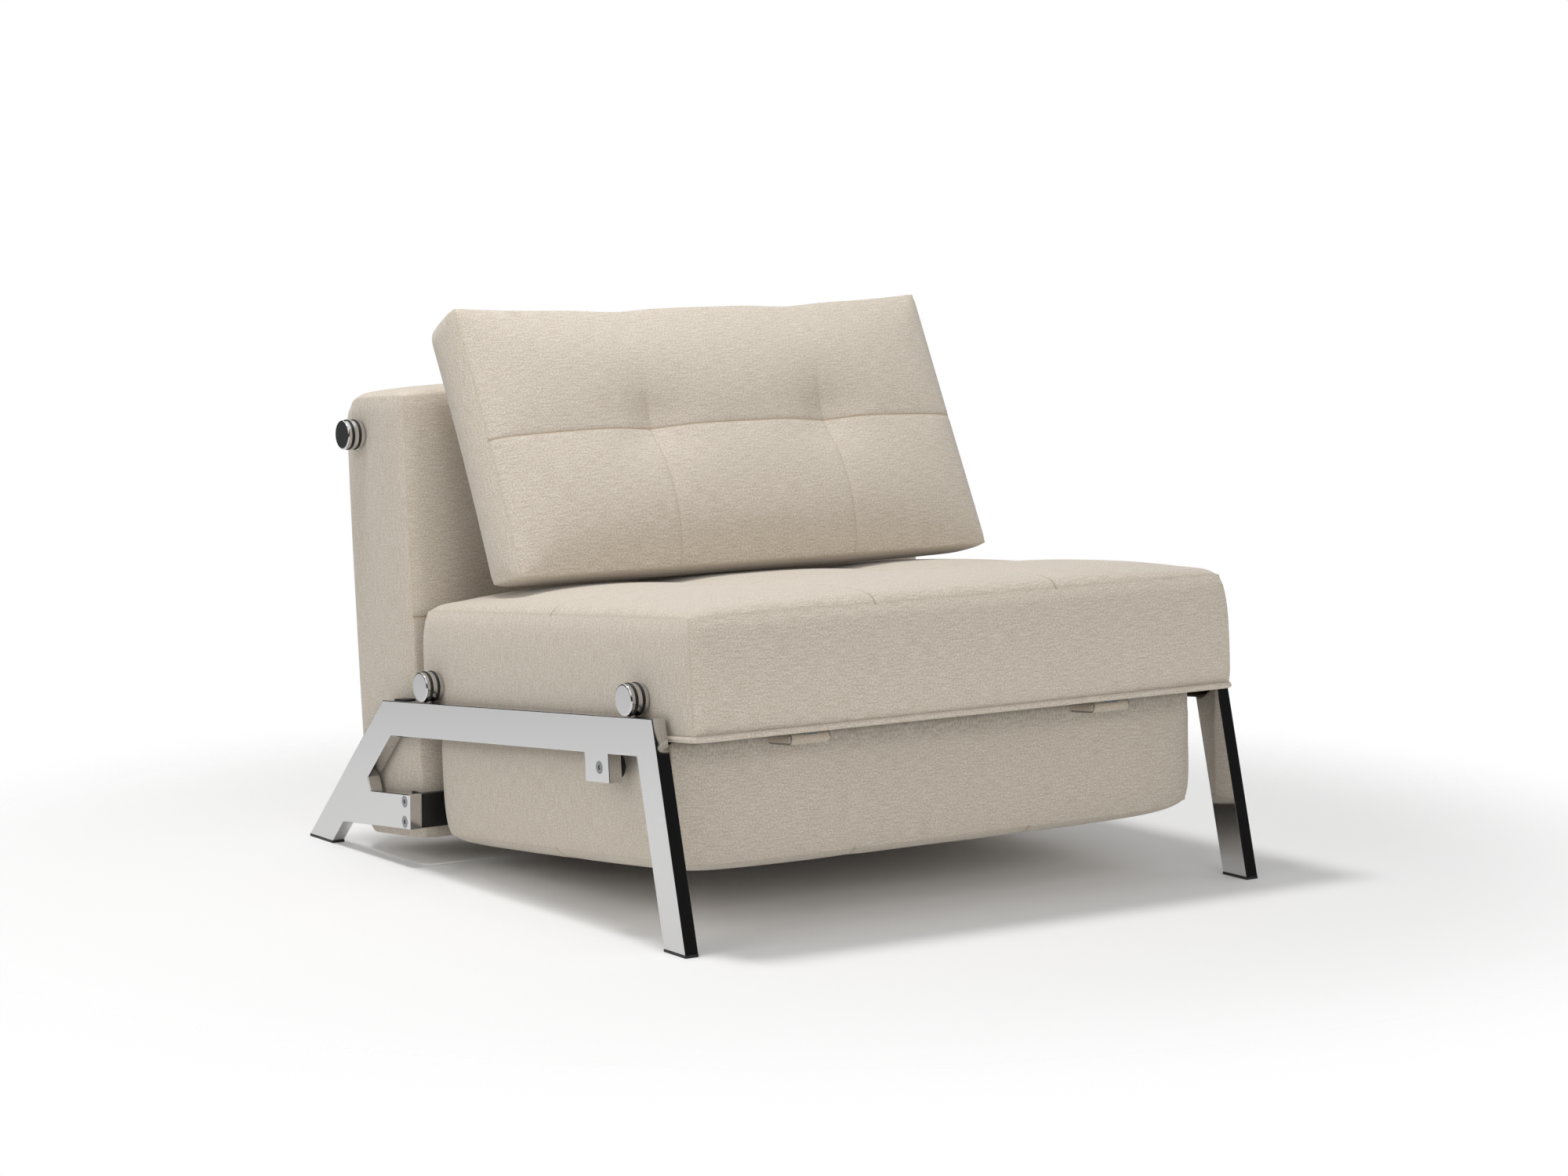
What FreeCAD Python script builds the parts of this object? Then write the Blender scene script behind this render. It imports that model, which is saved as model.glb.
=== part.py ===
import FreeCAD, Part
import math
import os

# Convertible chair bed: a three-section folding mattress that hangs by chrome knobs between
# two bent flat-bar side frames, with a loose tufted back cushion.
# Millimetres. Origin on the floor, midway between the front and rear feet. X runs across the
# chair, the sitter faces -Y, Z is up. The mattress is drawn level in its own frame, with Y
# rearward and Z up from the seat's rear bottom edge, and then tilted with the rails.

# Stand: flat steel bar side frames
foot_span = 1037.5           # front toe to rear heel, along Y
bar_depth = 50.0             # bar as seen from the side
bar_thickness = 20.0         # bar across the chair
frame_side_gap = 6.0         # rail's inner face to the mattress
bar_edge_round = 1.2
front_leg_lean = 14.9        # degrees from upright
rear_leg_slope = 44.6        # degrees from the floor
pad_thickness = 3.5
rail_tilt = 5.17             # degrees, front end up
seat_corner_y = 216.7        # the mattress frame's origin
seat_corner_z = 208.0
rail_top_q = 30.5            # top face of the rail above the mattress frame's origin
block_front_p = -549.5       # hanging block under the rail
block_length = 60.0
block_drop = 38.5
block_screw_shift = 6.5      # the buffer's screw sits this far forward of the block's middle
bracket_top_q = -102.0       # rear bracket arm, parallel to the rail
bracket_end_y = 208.6
notch_z = 114.6              # inner corner between rear leg and bracket
notch_foot_y = 325.5

# Rear cross beam, its screws, the buffers and the rail clips
beam_thickness = 10.0
beam_edge_inset = 0.6
screw_head_radius = 8.7
screw_head_height = 1.6
screw_shank_radius = 3.9
screw_socket_radius = 3.6
screw_socket_depth = 1.2
bracket_screw_y = 223.5
bracket_screw_inset = 10.5   # from the bracket's top and bottom edges
beam_tab_thickness = 4.8     # end tabs that take the bracket screws
beam_tab_length = 30.0
buffer_radius = 17.5
buffer_thickness = 11.0
buffer_edge_round = 3.0
block_screw_drop = 18.5      # below the rail's underside
clip_length = 30.0
clip_inset = 4.0             # from the corner under the rail's rear end
clip_lip_thickness = 2.0
clip_lip = 12.0

# Seat section of the mattress
section_half_width = 450.0
seat_length = 720.0
seat_thickness = 161.0
seat_crown = 23.0
crown_fullness = 6           # how fast a sewn panel rises beside its side walls
wall_bulge = 3.5             # sewn walls swell this much between their seams
channel_x = 150.0            # the two lengthwise seams
channel_dip = 7.0
cross_seam_dip = 8.0
corner_turn = 4.0            # rounding of the upright corner seams
panel_floor = 0.6            # least swell of a sewn panel

# Foot section, stored face down under the seat
foot_side_inset = 13.0       # the foot section is this much narrower at each side
foot_front_p = -635.0
foot_rear_p = -12.0
foot_frame_side_q = -20.0
foot_face_q = -176.0
foot_crown = 11.0
foot_channel_x = 146.0
foot_corner_radius = 20.0

# Back section
back_front_p = 20.0
back_rear_p = 195.0
back_bottom_q = -171.0
back_top_q = 467.0
back_upper_crown = 13.0
back_lower_crown = 5.0
back_top_crown = 13.0
back_channel_dip = 4.0
back_top_corner = 40.0
back_bottom_corner = 28.0
back_front_corner = 6.0

# Timber frames inside the sections, with elastic straps and linings
wall_padding = 25.0
timber_width = 25.0
seat_timber_depth = 62.0
foot_timber_depth = 44.0
strap_width = 50.0
strap_thickness = 2.0
strap_count = 6
lining_thickness = 2.0
soft_clearance = 0.3

# Knobs that hang the mattress on the rails
knob_radius = 21.0
knob_length = 28.0
knob_rim_round = 2.0
knob_ring_radius = 3.0
knob_ring_stand_out = 1.2
knob_ring_offset = 8.6       # ring centres from the knob's two faces
knob_stud_radius = 5.0
knob_stud_depth = 20.0       # screwed into the timber
rear_knob_p = -50.5
front_knob_p = -598.0
back_knob_p = 143.0
back_knob_q = 412.0

# Hinges between seat and foot sections
fold_gap = 9.0               # between the two sections when unfolded
fold_hinge_q = -12.0
fold_hinge_x = 250.0
hinge_plate = 3.0
hinge_leaf_width = 62.0
hinge_leaf_reach = 28.0      # leaf length on its timber
hinge_knuckle_radius = 7.0
hinge_pin_radius = 4.0
hinge_lug_width = 20.0
hinge_lug_gap = 0.8
running_clearance = 0.1

# Folding tube leg in the foot section
leg_tube_radius = 11.0
leg_tube_wall = 1.5
leg_side_gap = 19.0          # tube to pivot post
leg_bend_radius = 45.0
leg_pivot_inset = 80.0       # from the section's far end
leg_depth = 15.0             # tube axis below the timber's open side
leg_pin_radius = 4.0
leg_eye_stand_out = 13.0
leg_floor_gap = 2.0
leg_bush_radius = 14.0
leg_bush_width = 24.0
leg_bush_x = 210.0
leg_post_thickness = 12.0
leg_post_height = 24.0

# Rod in the hem of the back section's lower front edge, and where it ends when laid flat
rod_radius = 6.0
rod_inset = 14.0
rod_end_inset = 25.0         # rod's end to the side of its section
rod_end_gap = 8.0            # back section's end to the seat's rear when flat
rod_clearance = 0.3

# Loose back cushion
cushion_half_width = 398.0
cushion_height = 410.0
cushion_edge = 92.0
cushion_lean = 26.5          # degrees from upright
cushion_toe_y = 12.7         # its lower front edge
cushion_toe_z = 428.0
cushion_front_crown = 33.0
cushion_rear_crown = 41.0
cushion_seam_height = 209.0
cushion_seam_dip = 16.0
cushion_channel_x = 133.0
cushion_channel_dip = 13.0
cushion_heel_lift = 20.0     # the rear of its underside is pressed up by the seat
cushion_rear_drop = 10.0     # its top rear edge is lower than its front one
cushion_underside_bulge = 5.0
flap_width = 180.0
flap_height = 38.0
flap_thickness = 2.5
flap_seam_drop = 36.0        # its sewn edge below the back section's top

frame_inner_x = section_half_width + frame_side_gap
frame_outer_x = frame_inner_x + bar_thickness
foot_half_width = section_half_width - foot_side_inset
rod_half_length = section_half_width - rod_end_inset
tilt = math.radians(rail_tilt)
rail_bottom_q = rail_top_q - bar_depth
X_AXIS = FreeCAD.Vector(1, 0, 0)


def at(x, y, z):
    return FreeCAD.Vector(x, y, z)


def box(x_range, y_range, z_range):
    """Axis-aligned block between two values each way."""
    low = at(x_range[0], y_range[0], z_range[0])
    size = [r[1] - r[0] for r in (x_range, y_range, z_range)]
    return Part.makeBox(size[0], size[1], size[2], low)


def rod_x(radius, x_from, x_to, y, z):
    """Round bar along X."""
    direction = X_AXIS if x_to > x_from else X_AXIS * -1
    return Part.makeCylinder(radius, abs(x_to - x_from), at(x_from, y, z), direction)


def both_sides(shape):
    """The shape and its mirror image across the chair."""
    return [shape, shape.mirror(at(0, 0, 0), X_AXIS)]


def tilted(shape):
    """Moves a shape from the mattress frame to the floor frame."""
    moved = shape.copy()
    moved.rotate(at(0, 0, 0), X_AXIS, -rail_tilt)
    moved.translate(at(0, seat_corner_y, seat_corner_z))
    return moved


def floor_point(p, q):
    """Mattress frame point as (y, z) over the floor."""
    y = seat_corner_y + p * math.cos(tilt) + q * math.sin(tilt)
    z = seat_corner_z - p * math.sin(tilt) + q * math.cos(tilt)
    return (y, z)


def mattress_point(y, z):
    """The reverse of floor_point."""
    dy, dz = y - seat_corner_y, z - seat_corner_z
    return (dy * math.cos(tilt) - dz * math.sin(tilt), dy * math.sin(tilt) + dz * math.cos(tilt))


def crossing(point_a, angle_a, point_b, angle_b):
    """Where two lines in the YZ plane meet, each a point and its angle from +Y in radians."""
    run = at(0, math.cos(angle_a), math.sin(angle_a))
    cut = at(0, math.cos(angle_b), math.sin(angle_b))
    between = at(0, point_b[0] - point_a[0], point_b[1] - point_a[1])
    along = between.cross(cut).x / run.cross(cut).x
    return (point_a[0] + along * run.y, point_a[1] + along * run.z)


def export(name, solids):
    """Writes one piece, or a set of like pieces, under its name."""
    solids = solids if isinstance(solids, list) else [solids]
    shape = solids[0] if len(solids) == 1 else Part.makeCompound(solids)
    shape.exportStep("parts/" + name + ".step")
    print(name, "solids", len(shape.Solids), "valid", shape.isValid(), "volume", round(shape.Volume))


# Stand

def heel_inner_corner():
    """Where the rear leg's front edge meets its pad."""
    return (foot_span / 2 - bar_depth / math.sin(math.radians(rear_leg_slope)), pad_thickness)


def side_frame_outline():
    """Corners of the bent bar frame, seen from the side."""
    rail_angle = -tilt
    front_angle = math.radians(90 - front_leg_lean)
    rear_angle = -math.radians(rear_leg_slope)
    toe = (-foot_span / 2, pad_thickness)
    heel = (foot_span / 2, pad_thickness)
    toe_inner = (toe[0] + bar_depth / math.sin(front_angle), pad_thickness)
    heel_inner = heel_inner_corner()
    rail_top = floor_point(0, rail_top_q)
    rail_under = floor_point(0, rail_bottom_q)
    arm_top = floor_point(0, bracket_top_q)
    arm_under = floor_point(0, bracket_top_q - bar_depth)
    block_rear_p = block_front_p + block_length
    block_bottom_q = rail_bottom_q - block_drop
    return [
        crossing(rail_top, rail_angle, toe, front_angle),
        toe,
        toe_inner,
        crossing(rail_under, rail_angle, toe_inner, front_angle),
        floor_point(block_front_p, rail_bottom_q),
        floor_point(block_front_p, block_bottom_q),
        floor_point(block_rear_p, block_bottom_q),
        floor_point(block_rear_p, rail_bottom_q),
        crossing(rail_under, rail_angle, heel_inner, rear_angle),
        crossing((0, notch_z), 0, heel_inner, rear_angle),
        crossing(arm_top, rail_angle, (notch_foot_y, 0), math.pi / 2),
        crossing(arm_top, rail_angle, (bracket_end_y, 0), math.pi / 2),
        crossing(arm_under, rail_angle, (bracket_end_y, 0), math.pi / 2),
        crossing(arm_under, rail_angle, heel_inner, rear_angle),
        heel_inner,
        heel,
        crossing(rail_top, rail_angle, heel, rear_angle),
    ]


def bracket_screw_places():
    """Heights of the two screws that hold the cross beam's end."""
    arm_top = floor_point(0, bracket_top_q)
    top = crossing(arm_top, -tilt, (bracket_screw_y, 0), math.pi / 2)
    upper = top[1] - bracket_screw_inset
    lower = top[1] - bar_depth / math.cos(tilt) + bracket_screw_inset
    return [upper, lower]


def countersunk_blank(y, z, length):
    """Countersunk screw from the left side frame's outer face inwards, before its socket."""
    head_end = -frame_outer_x + screw_head_height
    head = Part.makeCone(screw_head_radius, screw_shank_radius, screw_head_height,
                         at(-frame_outer_x, y, z), X_AXIS)
    return head.fuse(rod_x(screw_shank_radius, head_end, -frame_outer_x + length, y, z))


def socket_screw(y, z, length):
    """The finished screw, with its hex socket."""
    corners = []
    for index in range(7):
        angle = math.radians(60 * index)
        corners.append(at(-frame_outer_x, y + screw_socket_radius * math.cos(angle),
                          z + screw_socket_radius * math.sin(angle)))
    socket = Part.Face(Part.makePolygon(corners)).extrude(X_AXIS * screw_socket_depth)
    return countersunk_blank(y, z, length).cut(socket)


def block_screw_place():
    """Centre of the buffer's screw as (y, z)."""
    return floor_point(block_front_p + block_length / 2 - block_screw_shift, rail_bottom_q - block_screw_drop)


def screw_places():
    """Centres of the left side frame's three screws as (y, z), the buffer's first."""
    return [block_screw_place()] + [(bracket_screw_y, height) for height in bracket_screw_places()]


def left_frame_screws():
    """The buffer's screw and the two bracket screws of the left side frame."""
    lengths = [bar_thickness + buffer_thickness / 2] + [bar_thickness + beam_tab_thickness] * 2
    return [socket_screw(place[0], place[1], length) for place, length in zip(screw_places(), lengths)]


def side_frame():
    """Left side frame: rail, two legs, hanging block and bracket arm in one bent bar."""
    corners = [at(-frame_outer_x, y, z) for y, z in side_frame_outline()]
    face = Part.Face(Part.makePolygon(corners + corners[:1]))
    bar = face.extrude(X_AXIS * bar_thickness)
    rims = [e for e in bar.Edges if abs(e.tangentAt(e.FirstParameter).x) < 0.5]
    bar = bar.makeFillet(bar_edge_round, rims)
    for y, z in screw_places():
        bar = bar.cut(countersunk_blank(y, z, bar_thickness))
    return bar


def foot_pads():
    """Thin pads under the four feet."""
    outline = side_frame_outline()
    toe, toe_inner = outline[1], outline[2]
    heel_inner, heel = outline[14], outline[15]
    side = (-frame_outer_x, -frame_inner_x)
    front = box(side, (toe[0], toe_inner[0]), (0, pad_thickness))
    rear = box(side, (heel_inner[0], heel[0]), (0, pad_thickness))
    return both_sides(front) + both_sides(rear)


def rear_beam():
    """Flat bar between the two bracket arms, with an end tab for the screws at each end."""
    outline = side_frame_outline()
    top_z, bottom_z = outline[11][1], outline[12][1]
    height = (bottom_z + beam_edge_inset, top_z - beam_edge_inset)
    beam = box((-frame_inner_x, frame_inner_x), (bracket_end_y, bracket_end_y + beam_thickness), height)
    tab = box((-frame_inner_x, -frame_inner_x + beam_tab_thickness),
              (bracket_end_y, bracket_end_y + beam_tab_length), height)
    for solid in both_sides(tab):
        beam = beam.fuse(solid)
    return beam.removeSplitter()


def buffers():
    """Rubber discs on the inner faces of the hanging blocks."""
    y, z = block_screw_place()
    disc = rod_x(buffer_radius, -frame_inner_x, -frame_inner_x + buffer_thickness, y, z)
    inner = -frame_inner_x + buffer_thickness
    rim = [e for e in disc.Edges if abs(e.CenterOfMass.x - inner) < 0.01]
    disc = disc.makeFillet(buffer_edge_round, rim)
    hole_end = -frame_inner_x + buffer_thickness / 2
    disc = disc.cut(rod_x(screw_shank_radius, -frame_inner_x, hole_end, y, z))
    return both_sides(disc)


def rail_clips():
    """Plastic channel clips on the rails' rear ends, which keep the back section between them."""
    rear_angle = -math.radians(rear_leg_slope)
    corner = crossing(floor_point(0, rail_bottom_q), -tilt, heel_inner_corner(), rear_angle)
    rear_p = mattress_point(*corner)[0] - clip_inset
    clip_front_p = rear_p - clip_length
    outside = box((-frame_inner_x - clip_lip, -section_half_width - soft_clearance), (clip_front_p, rear_p),
                  (rail_bottom_q - clip_lip_thickness, rail_top_q + clip_lip_thickness))
    rail = box((-frame_outer_x, -frame_inner_x), (clip_front_p, rear_p), (rail_bottom_q, rail_top_q))
    return both_sides(tilted(outside.cut(rail)))


# Soft forms: each section is a row of cross outlines along X, joined by ruled faces

def bowed(a, b, x, swell):
    """Arc in the plane X = x from a to b that swells to the right of its direction of travel."""
    run = (b[0] - a[0], b[1] - a[1])
    length = math.hypot(run[0], run[1])
    middle = ((a[0] + b[0]) / 2 + run[1] / length * swell, (a[1] + b[1]) / 2 - run[0] / length * swell)
    return Part.Arc(at(x, a[0], a[1]), at(x, middle[0], middle[1]), at(x, b[0], b[1])).toShape()


def straight(a, b, x):
    return Part.LineSegment(at(x, a[0], a[1]), at(x, b[0], b[1])).toShape()


def rounded(a, corner, b, x):
    """Arc that rounds a right-angled corner, from a to b."""
    reach = math.hypot(b[0] - a[0], b[1] - a[1])
    swell = reach * (math.sqrt(2) - 1) / 2
    side = (b[0] - a[0]) * (corner[1] - a[1]) - (b[1] - a[1]) * (corner[0] - a[0])
    return bowed(a, b, x, swell if side < 0 else -swell)


def stations(half_width, seam_x):
    """Where the cross outlines stand: closer together at the walls and at the seams."""
    outer = half_width - seam_x
    half = [0, seam_x * 0.35, seam_x * 0.68, seam_x * 0.88, seam_x]
    half += [seam_x + outer * share for share in (0.07, 0.2, 0.45, 0.7, 0.88, 0.97, 1.0)]
    return [-x for x in reversed(half[1:])] + half


def swell_at(x, half_width, seam_x, crown, dip):
    """Height of a sewn panel above its seams at x: a crown with a valley along each seam."""
    crown_here = crown * (1 - (abs(x) / half_width) ** crown_fullness)
    reach = seam_x * 0.7
    valley = max(0.0, 1 - abs(abs(x) - seam_x) / reach)
    return max(panel_floor, crown_here - dip * valley ** 1.5)


def corner_inset(x, half_width):
    """Draws the front and rear walls in beside the upright corner seams."""
    near = half_width - abs(x)
    return corner_turn * max(0.0, 1 - near / (4 * corner_turn)) ** 2


def two_arc_panel(a, b, x, height, seam_height):
    """Two swelling panels from a to b with a sewn valley half-way."""
    run = (b[0] - a[0], b[1] - a[1])
    length = math.hypot(run[0], run[1])
    out = (run[1] / length, -run[0] / length)
    valley = ((a[0] + b[0]) / 2 + out[0] * seam_height, (a[1] + b[1]) / 2 + out[1] * seam_height)
    swell = max(panel_floor, height - seam_height / 2)
    return [bowed(a, valley, x, swell), bowed(valley, b, x, swell)]


def seam_height_at(height, dip):
    return max(panel_floor / 2, height - dip)


def joined(outlines):
    return Part.makeLoft([Part.Wire(edges) for edges in outlines], True, True)


def seat_form():
    outlines = []
    for x in stations(section_half_width, channel_x):
        height = swell_at(x, section_half_width, channel_x, seat_crown, channel_dip)
        inset = corner_inset(x, section_half_width)
        front, rear = -seat_length + inset, -inset
        low_front, low_rear = (front, 0), (rear, 0)
        top_rear, top_front = (rear, seat_thickness), (front, seat_thickness)
        top = two_arc_panel(top_rear, top_front, x, height, seam_height_at(height, cross_seam_dip))
        outlines.append([straight(low_front, low_rear, x), bowed(low_rear, top_rear, x, wall_bulge)]
                        + top + [bowed(top_front, low_front, x, wall_bulge)])
    return joined(outlines)


def foot_form():
    radius = foot_corner_radius
    outlines = []
    for x in stations(foot_half_width, foot_channel_x):
        height = swell_at(x, foot_half_width, foot_channel_x, foot_crown, channel_dip / 2)
        inset = corner_inset(x, foot_half_width)
        front, rear = foot_front_p + inset, foot_rear_p - inset
        top_rear, top_front = (rear, foot_frame_side_q), (front, foot_frame_side_q)
        low_front = (front, foot_face_q)
        corner = (rear, foot_face_q)
        before, after = (rear - radius, foot_face_q), (rear, foot_face_q + radius)
        face = two_arc_panel(low_front, before, x, height, seam_height_at(height, cross_seam_dip / 2))
        outlines.append(face + [rounded(before, corner, after, x), straight(after, top_rear, x),
                                straight(top_rear, top_front, x), bowed(top_front, low_front, x, wall_bulge)])
    return joined(outlines)


def back_form():
    top_r, low_r, edge_r = back_top_corner, back_bottom_corner, back_front_corner
    middle_q = (back_top_q + back_bottom_q) / 2
    outlines = []
    for x in stations(section_half_width, channel_x):
        upper = swell_at(x, section_half_width, channel_x, back_upper_crown, back_channel_dip)
        lower = swell_at(x, section_half_width, channel_x, back_lower_crown, back_channel_dip)
        top_swell = swell_at(x, section_half_width, channel_x, back_top_crown, 0)
        inset = corner_inset(x, section_half_width)
        low, top = back_bottom_q + inset, back_top_q - inset
        low_front, low_rear = (back_front_p + edge_r, low), (back_rear_p - low_r, low)
        rear_low, rear_top = (back_rear_p, low + low_r), (back_rear_p, top - top_r)
        top_rear, top_front = (back_rear_p - top_r, top), (back_front_p, top)
        seam = (back_front_p, middle_q)
        toe = (back_front_p, low + edge_r)
        outlines.append([
            straight(low_front, low_rear, x),
            rounded(low_rear, (back_rear_p, low), rear_low, x),
            straight(rear_low, rear_top, x),
            rounded(rear_top, (back_rear_p, top), top_rear, x),
            bowed(top_rear, top_front, x, top_swell),
            bowed(top_front, seam, x, upper),
            bowed(seam, toe, x, lower),
            rounded(toe, (back_front_p, low), low_front, x),
        ])
    return joined(outlines)


def cushion_form():
    """Loose cushion in its own frame: Y through its thickness, Z up its height."""
    half_edge = cushion_edge / 2
    outlines = []
    for x in stations(cushion_half_width, cushion_channel_x):
        front = swell_at(x, cushion_half_width, cushion_channel_x, cushion_front_crown, cushion_channel_dip)
        rear = swell_at(x, cushion_half_width, cushion_channel_x, cushion_rear_crown, cushion_channel_dip)
        toe, heel = (-half_edge, 0), (half_edge, cushion_heel_lift)
        top_rear, top_front = (half_edge, cushion_height - cushion_rear_drop), (-half_edge, cushion_height)
        fill = swell_at(x, cushion_half_width, cushion_channel_x, cushion_underside_bulge, 0)
        front_seam = (-half_edge - seam_height_at(front, cushion_seam_dip), cushion_seam_height)
        rear_seam = (half_edge + seam_height_at(rear, cushion_seam_dip), cushion_seam_height)
        front_swell = max(panel_floor, front - seam_height_at(front, cushion_seam_dip) / 2)
        rear_swell = max(panel_floor, rear - seam_height_at(rear, cushion_seam_dip) / 2)
        outlines.append([
            bowed(toe, heel, x, fill),
            bowed(heel, rear_seam, x, rear_swell),
            bowed(rear_seam, top_rear, x, rear_swell),
            bowed(top_rear, top_front, x, fill),
            bowed(top_front, front_seam, x, front_swell),
            bowed(front_seam, toe, x, front_swell),
        ])
    return joined(outlines)


# Timber frames, straps and linings

def slab(x_range, length_range, depth_range, upright):
    """Block in a section that lies flat, or in the one that stands, with its depth rearward."""
    if upright:
        return box(x_range, depth_range, length_range)
    return box(x_range, length_range, depth_range)


def timber_frame(x_half, length_range, depth_range, upright, middle_rail):
    """Perimeter frame, with a rail across its middle where nothing folds into it."""
    frame = slab((-x_half, x_half), length_range, depth_range, upright)
    inner = (length_range[0] + timber_width, length_range[1] - timber_width)
    middle = (inner[0] + inner[1]) / 2
    half_rail = timber_width / 2 if middle_rail else 0
    inner_x = x_half - timber_width
    for opening in ((inner[0], middle - half_rail), (middle + half_rail, inner[1])):
        frame = frame.cut(slab((-inner_x, inner_x), opening, depth_range, upright))
    return frame


def straps(x_half, length_range, low, upright):
    """Elastic straps across the frame, evenly spaced, on its upholstered side."""
    step = (length_range[1] - length_range[0]) / strap_count
    bands = []
    for index in range(strap_count):
        middle = length_range[0] + (index + 0.5) * step
        across = (middle - strap_width / 2, middle + strap_width / 2)
        bands.append(slab((-x_half, x_half), across, (low, low + strap_thickness), upright))
    return bands


# Knobs

def knob(p, q):
    """Chrome roller on the left wall, with two grooves for its rings."""
    inner = -section_half_width - soft_clearance
    body = rod_x(knob_radius, inner, inner - knob_length, p, q)
    rims = [e for e in body.Edges if abs(e.tangentAt(e.FirstParameter).x) < 0.5]
    return body.makeFillet(knob_rim_round, rims)


def ring_places():
    inner = -section_half_width - soft_clearance
    return [inner - knob_ring_offset, inner - knob_length + knob_ring_offset]


def knob_rings(p, q):
    """Two rubber rings let into the knob."""
    pitch_radius = knob_radius + knob_ring_stand_out - knob_ring_radius
    return [Part.makeTorus(pitch_radius, knob_ring_radius, at(x, p, q), X_AXIS) for x in ring_places()]


def knob_stud(p, q):
    """Threaded stud from the timber into the knob."""
    timber_face = -section_half_width + wall_padding
    inner = -section_half_width - soft_clearance
    return rod_x(knob_stud_radius, timber_face + knob_stud_depth, inner - knob_length / 2, p, q)


seat_knob_q = rail_top_q + knob_radius + knob_ring_stand_out + soft_clearance / 2
seat_knob_places = [(rear_knob_p, seat_knob_q), (front_knob_p, seat_knob_q)]
back_knob_places = [(back_knob_p, back_knob_q)]


def knob_sets(places):
    """Knobs, rings and studs at the given places, on both sides, in the mattress frame."""
    knobs, rings, studs = [], [], []
    for p, q in places:
        stud = knob_stud(p, q)
        body = knob(p, q).cut(stud)
        for ring in knob_rings(p, q):
            body = body.cut(ring)
            rings += both_sides(ring)
        knobs += both_sides(body)
        studs += both_sides(stud)
    return knobs, rings, studs


def stud_bores(shape, places, clearance):
    """Cuts the studs' holes on both sides."""
    for p, q in places:
        reach = section_half_width - wall_padding - knob_stud_depth
        for side in (-1, 1):
            shape = shape.cut(rod_x(knob_stud_radius + clearance, side * reach,
                                    side * (section_half_width + 1), p, q))
    return shape


# Fold hinge between the seat and foot sections

fold_hinge_p = (-seat_length - fold_gap + foot_front_p) / 2


def hinge_lug(x_range, bore_radius):
    """Knuckle round the hinge pin."""
    eye = rod_x(hinge_knuckle_radius, x_range[0], x_range[1], fold_hinge_p, fold_hinge_q)
    return eye, rod_x(bore_radius, x_range[0] - 1, x_range[1] + 1, fold_hinge_p, fold_hinge_q)


def seat_hinge_leaf():
    """Leaf under the seat's front timber, with one middle knuckle."""
    timber_rear = -seat_length + wall_padding + hinge_leaf_reach
    half_leaf, half_lug = hinge_leaf_width / 2, hinge_lug_width / 2
    plate = box((fold_hinge_x - half_leaf, fold_hinge_x + half_leaf),
                (fold_hinge_p - hinge_knuckle_radius, timber_rear), (-hinge_plate, 0))
    web = box((fold_hinge_x - half_lug, fold_hinge_x + half_lug),
              (fold_hinge_p - hinge_knuckle_radius, fold_hinge_p + hinge_knuckle_radius),
              (fold_hinge_q, 0))
    eye, bore = hinge_lug((fold_hinge_x - half_lug, fold_hinge_x + half_lug),
                          hinge_pin_radius + running_clearance)
    return plate.fuse(web).fuse(eye).cut(bore)


def foot_hinge_leaf():
    """Leaf on the foot section's front timber, with two outer knuckles."""
    half_leaf, half_lug = hinge_leaf_width / 2, hinge_lug_width / 2 + hinge_lug_gap
    rear = foot_front_p + wall_padding + hinge_leaf_reach
    low = foot_frame_side_q
    leaf = box((fold_hinge_x - half_leaf, fold_hinge_x + half_leaf),
               (foot_front_p - soft_clearance, rear), (low, low + hinge_plate))
    for side in (-1, 1):
        span = sorted((fold_hinge_x + side * half_lug, fold_hinge_x + side * half_leaf))
        arm = box(span, (fold_hinge_p, foot_front_p), (low, low + hinge_plate))
        eye, bore = hinge_lug(span, hinge_pin_radius)
        leaf = leaf.fuse(arm).fuse(eye).cut(bore)
    return leaf


def hinge_pin():
    """Pin held in the foot leaf's outer knuckles."""
    half = hinge_leaf_width / 2
    return rod_x(hinge_pin_radius, fold_hinge_x - half, fold_hinge_x + half, fold_hinge_p, fold_hinge_q)


# Folding leg

leg_pivot_p = foot_rear_p - leg_pivot_inset
leg_pivot_q = foot_frame_side_q - leg_depth
leg_half_span = (foot_half_width - wall_padding - timber_width - leg_post_thickness
                 - leg_side_gap - leg_tube_radius)
unfolded_pivot = floor_point(2 * fold_hinge_p - leg_pivot_p, 2 * fold_hinge_q - leg_pivot_q)
leg_reach = (unfolded_pivot[1] - leg_floor_gap) / math.cos(tilt) - leg_bush_radius
leg_bar_p = leg_pivot_p - leg_reach


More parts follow.
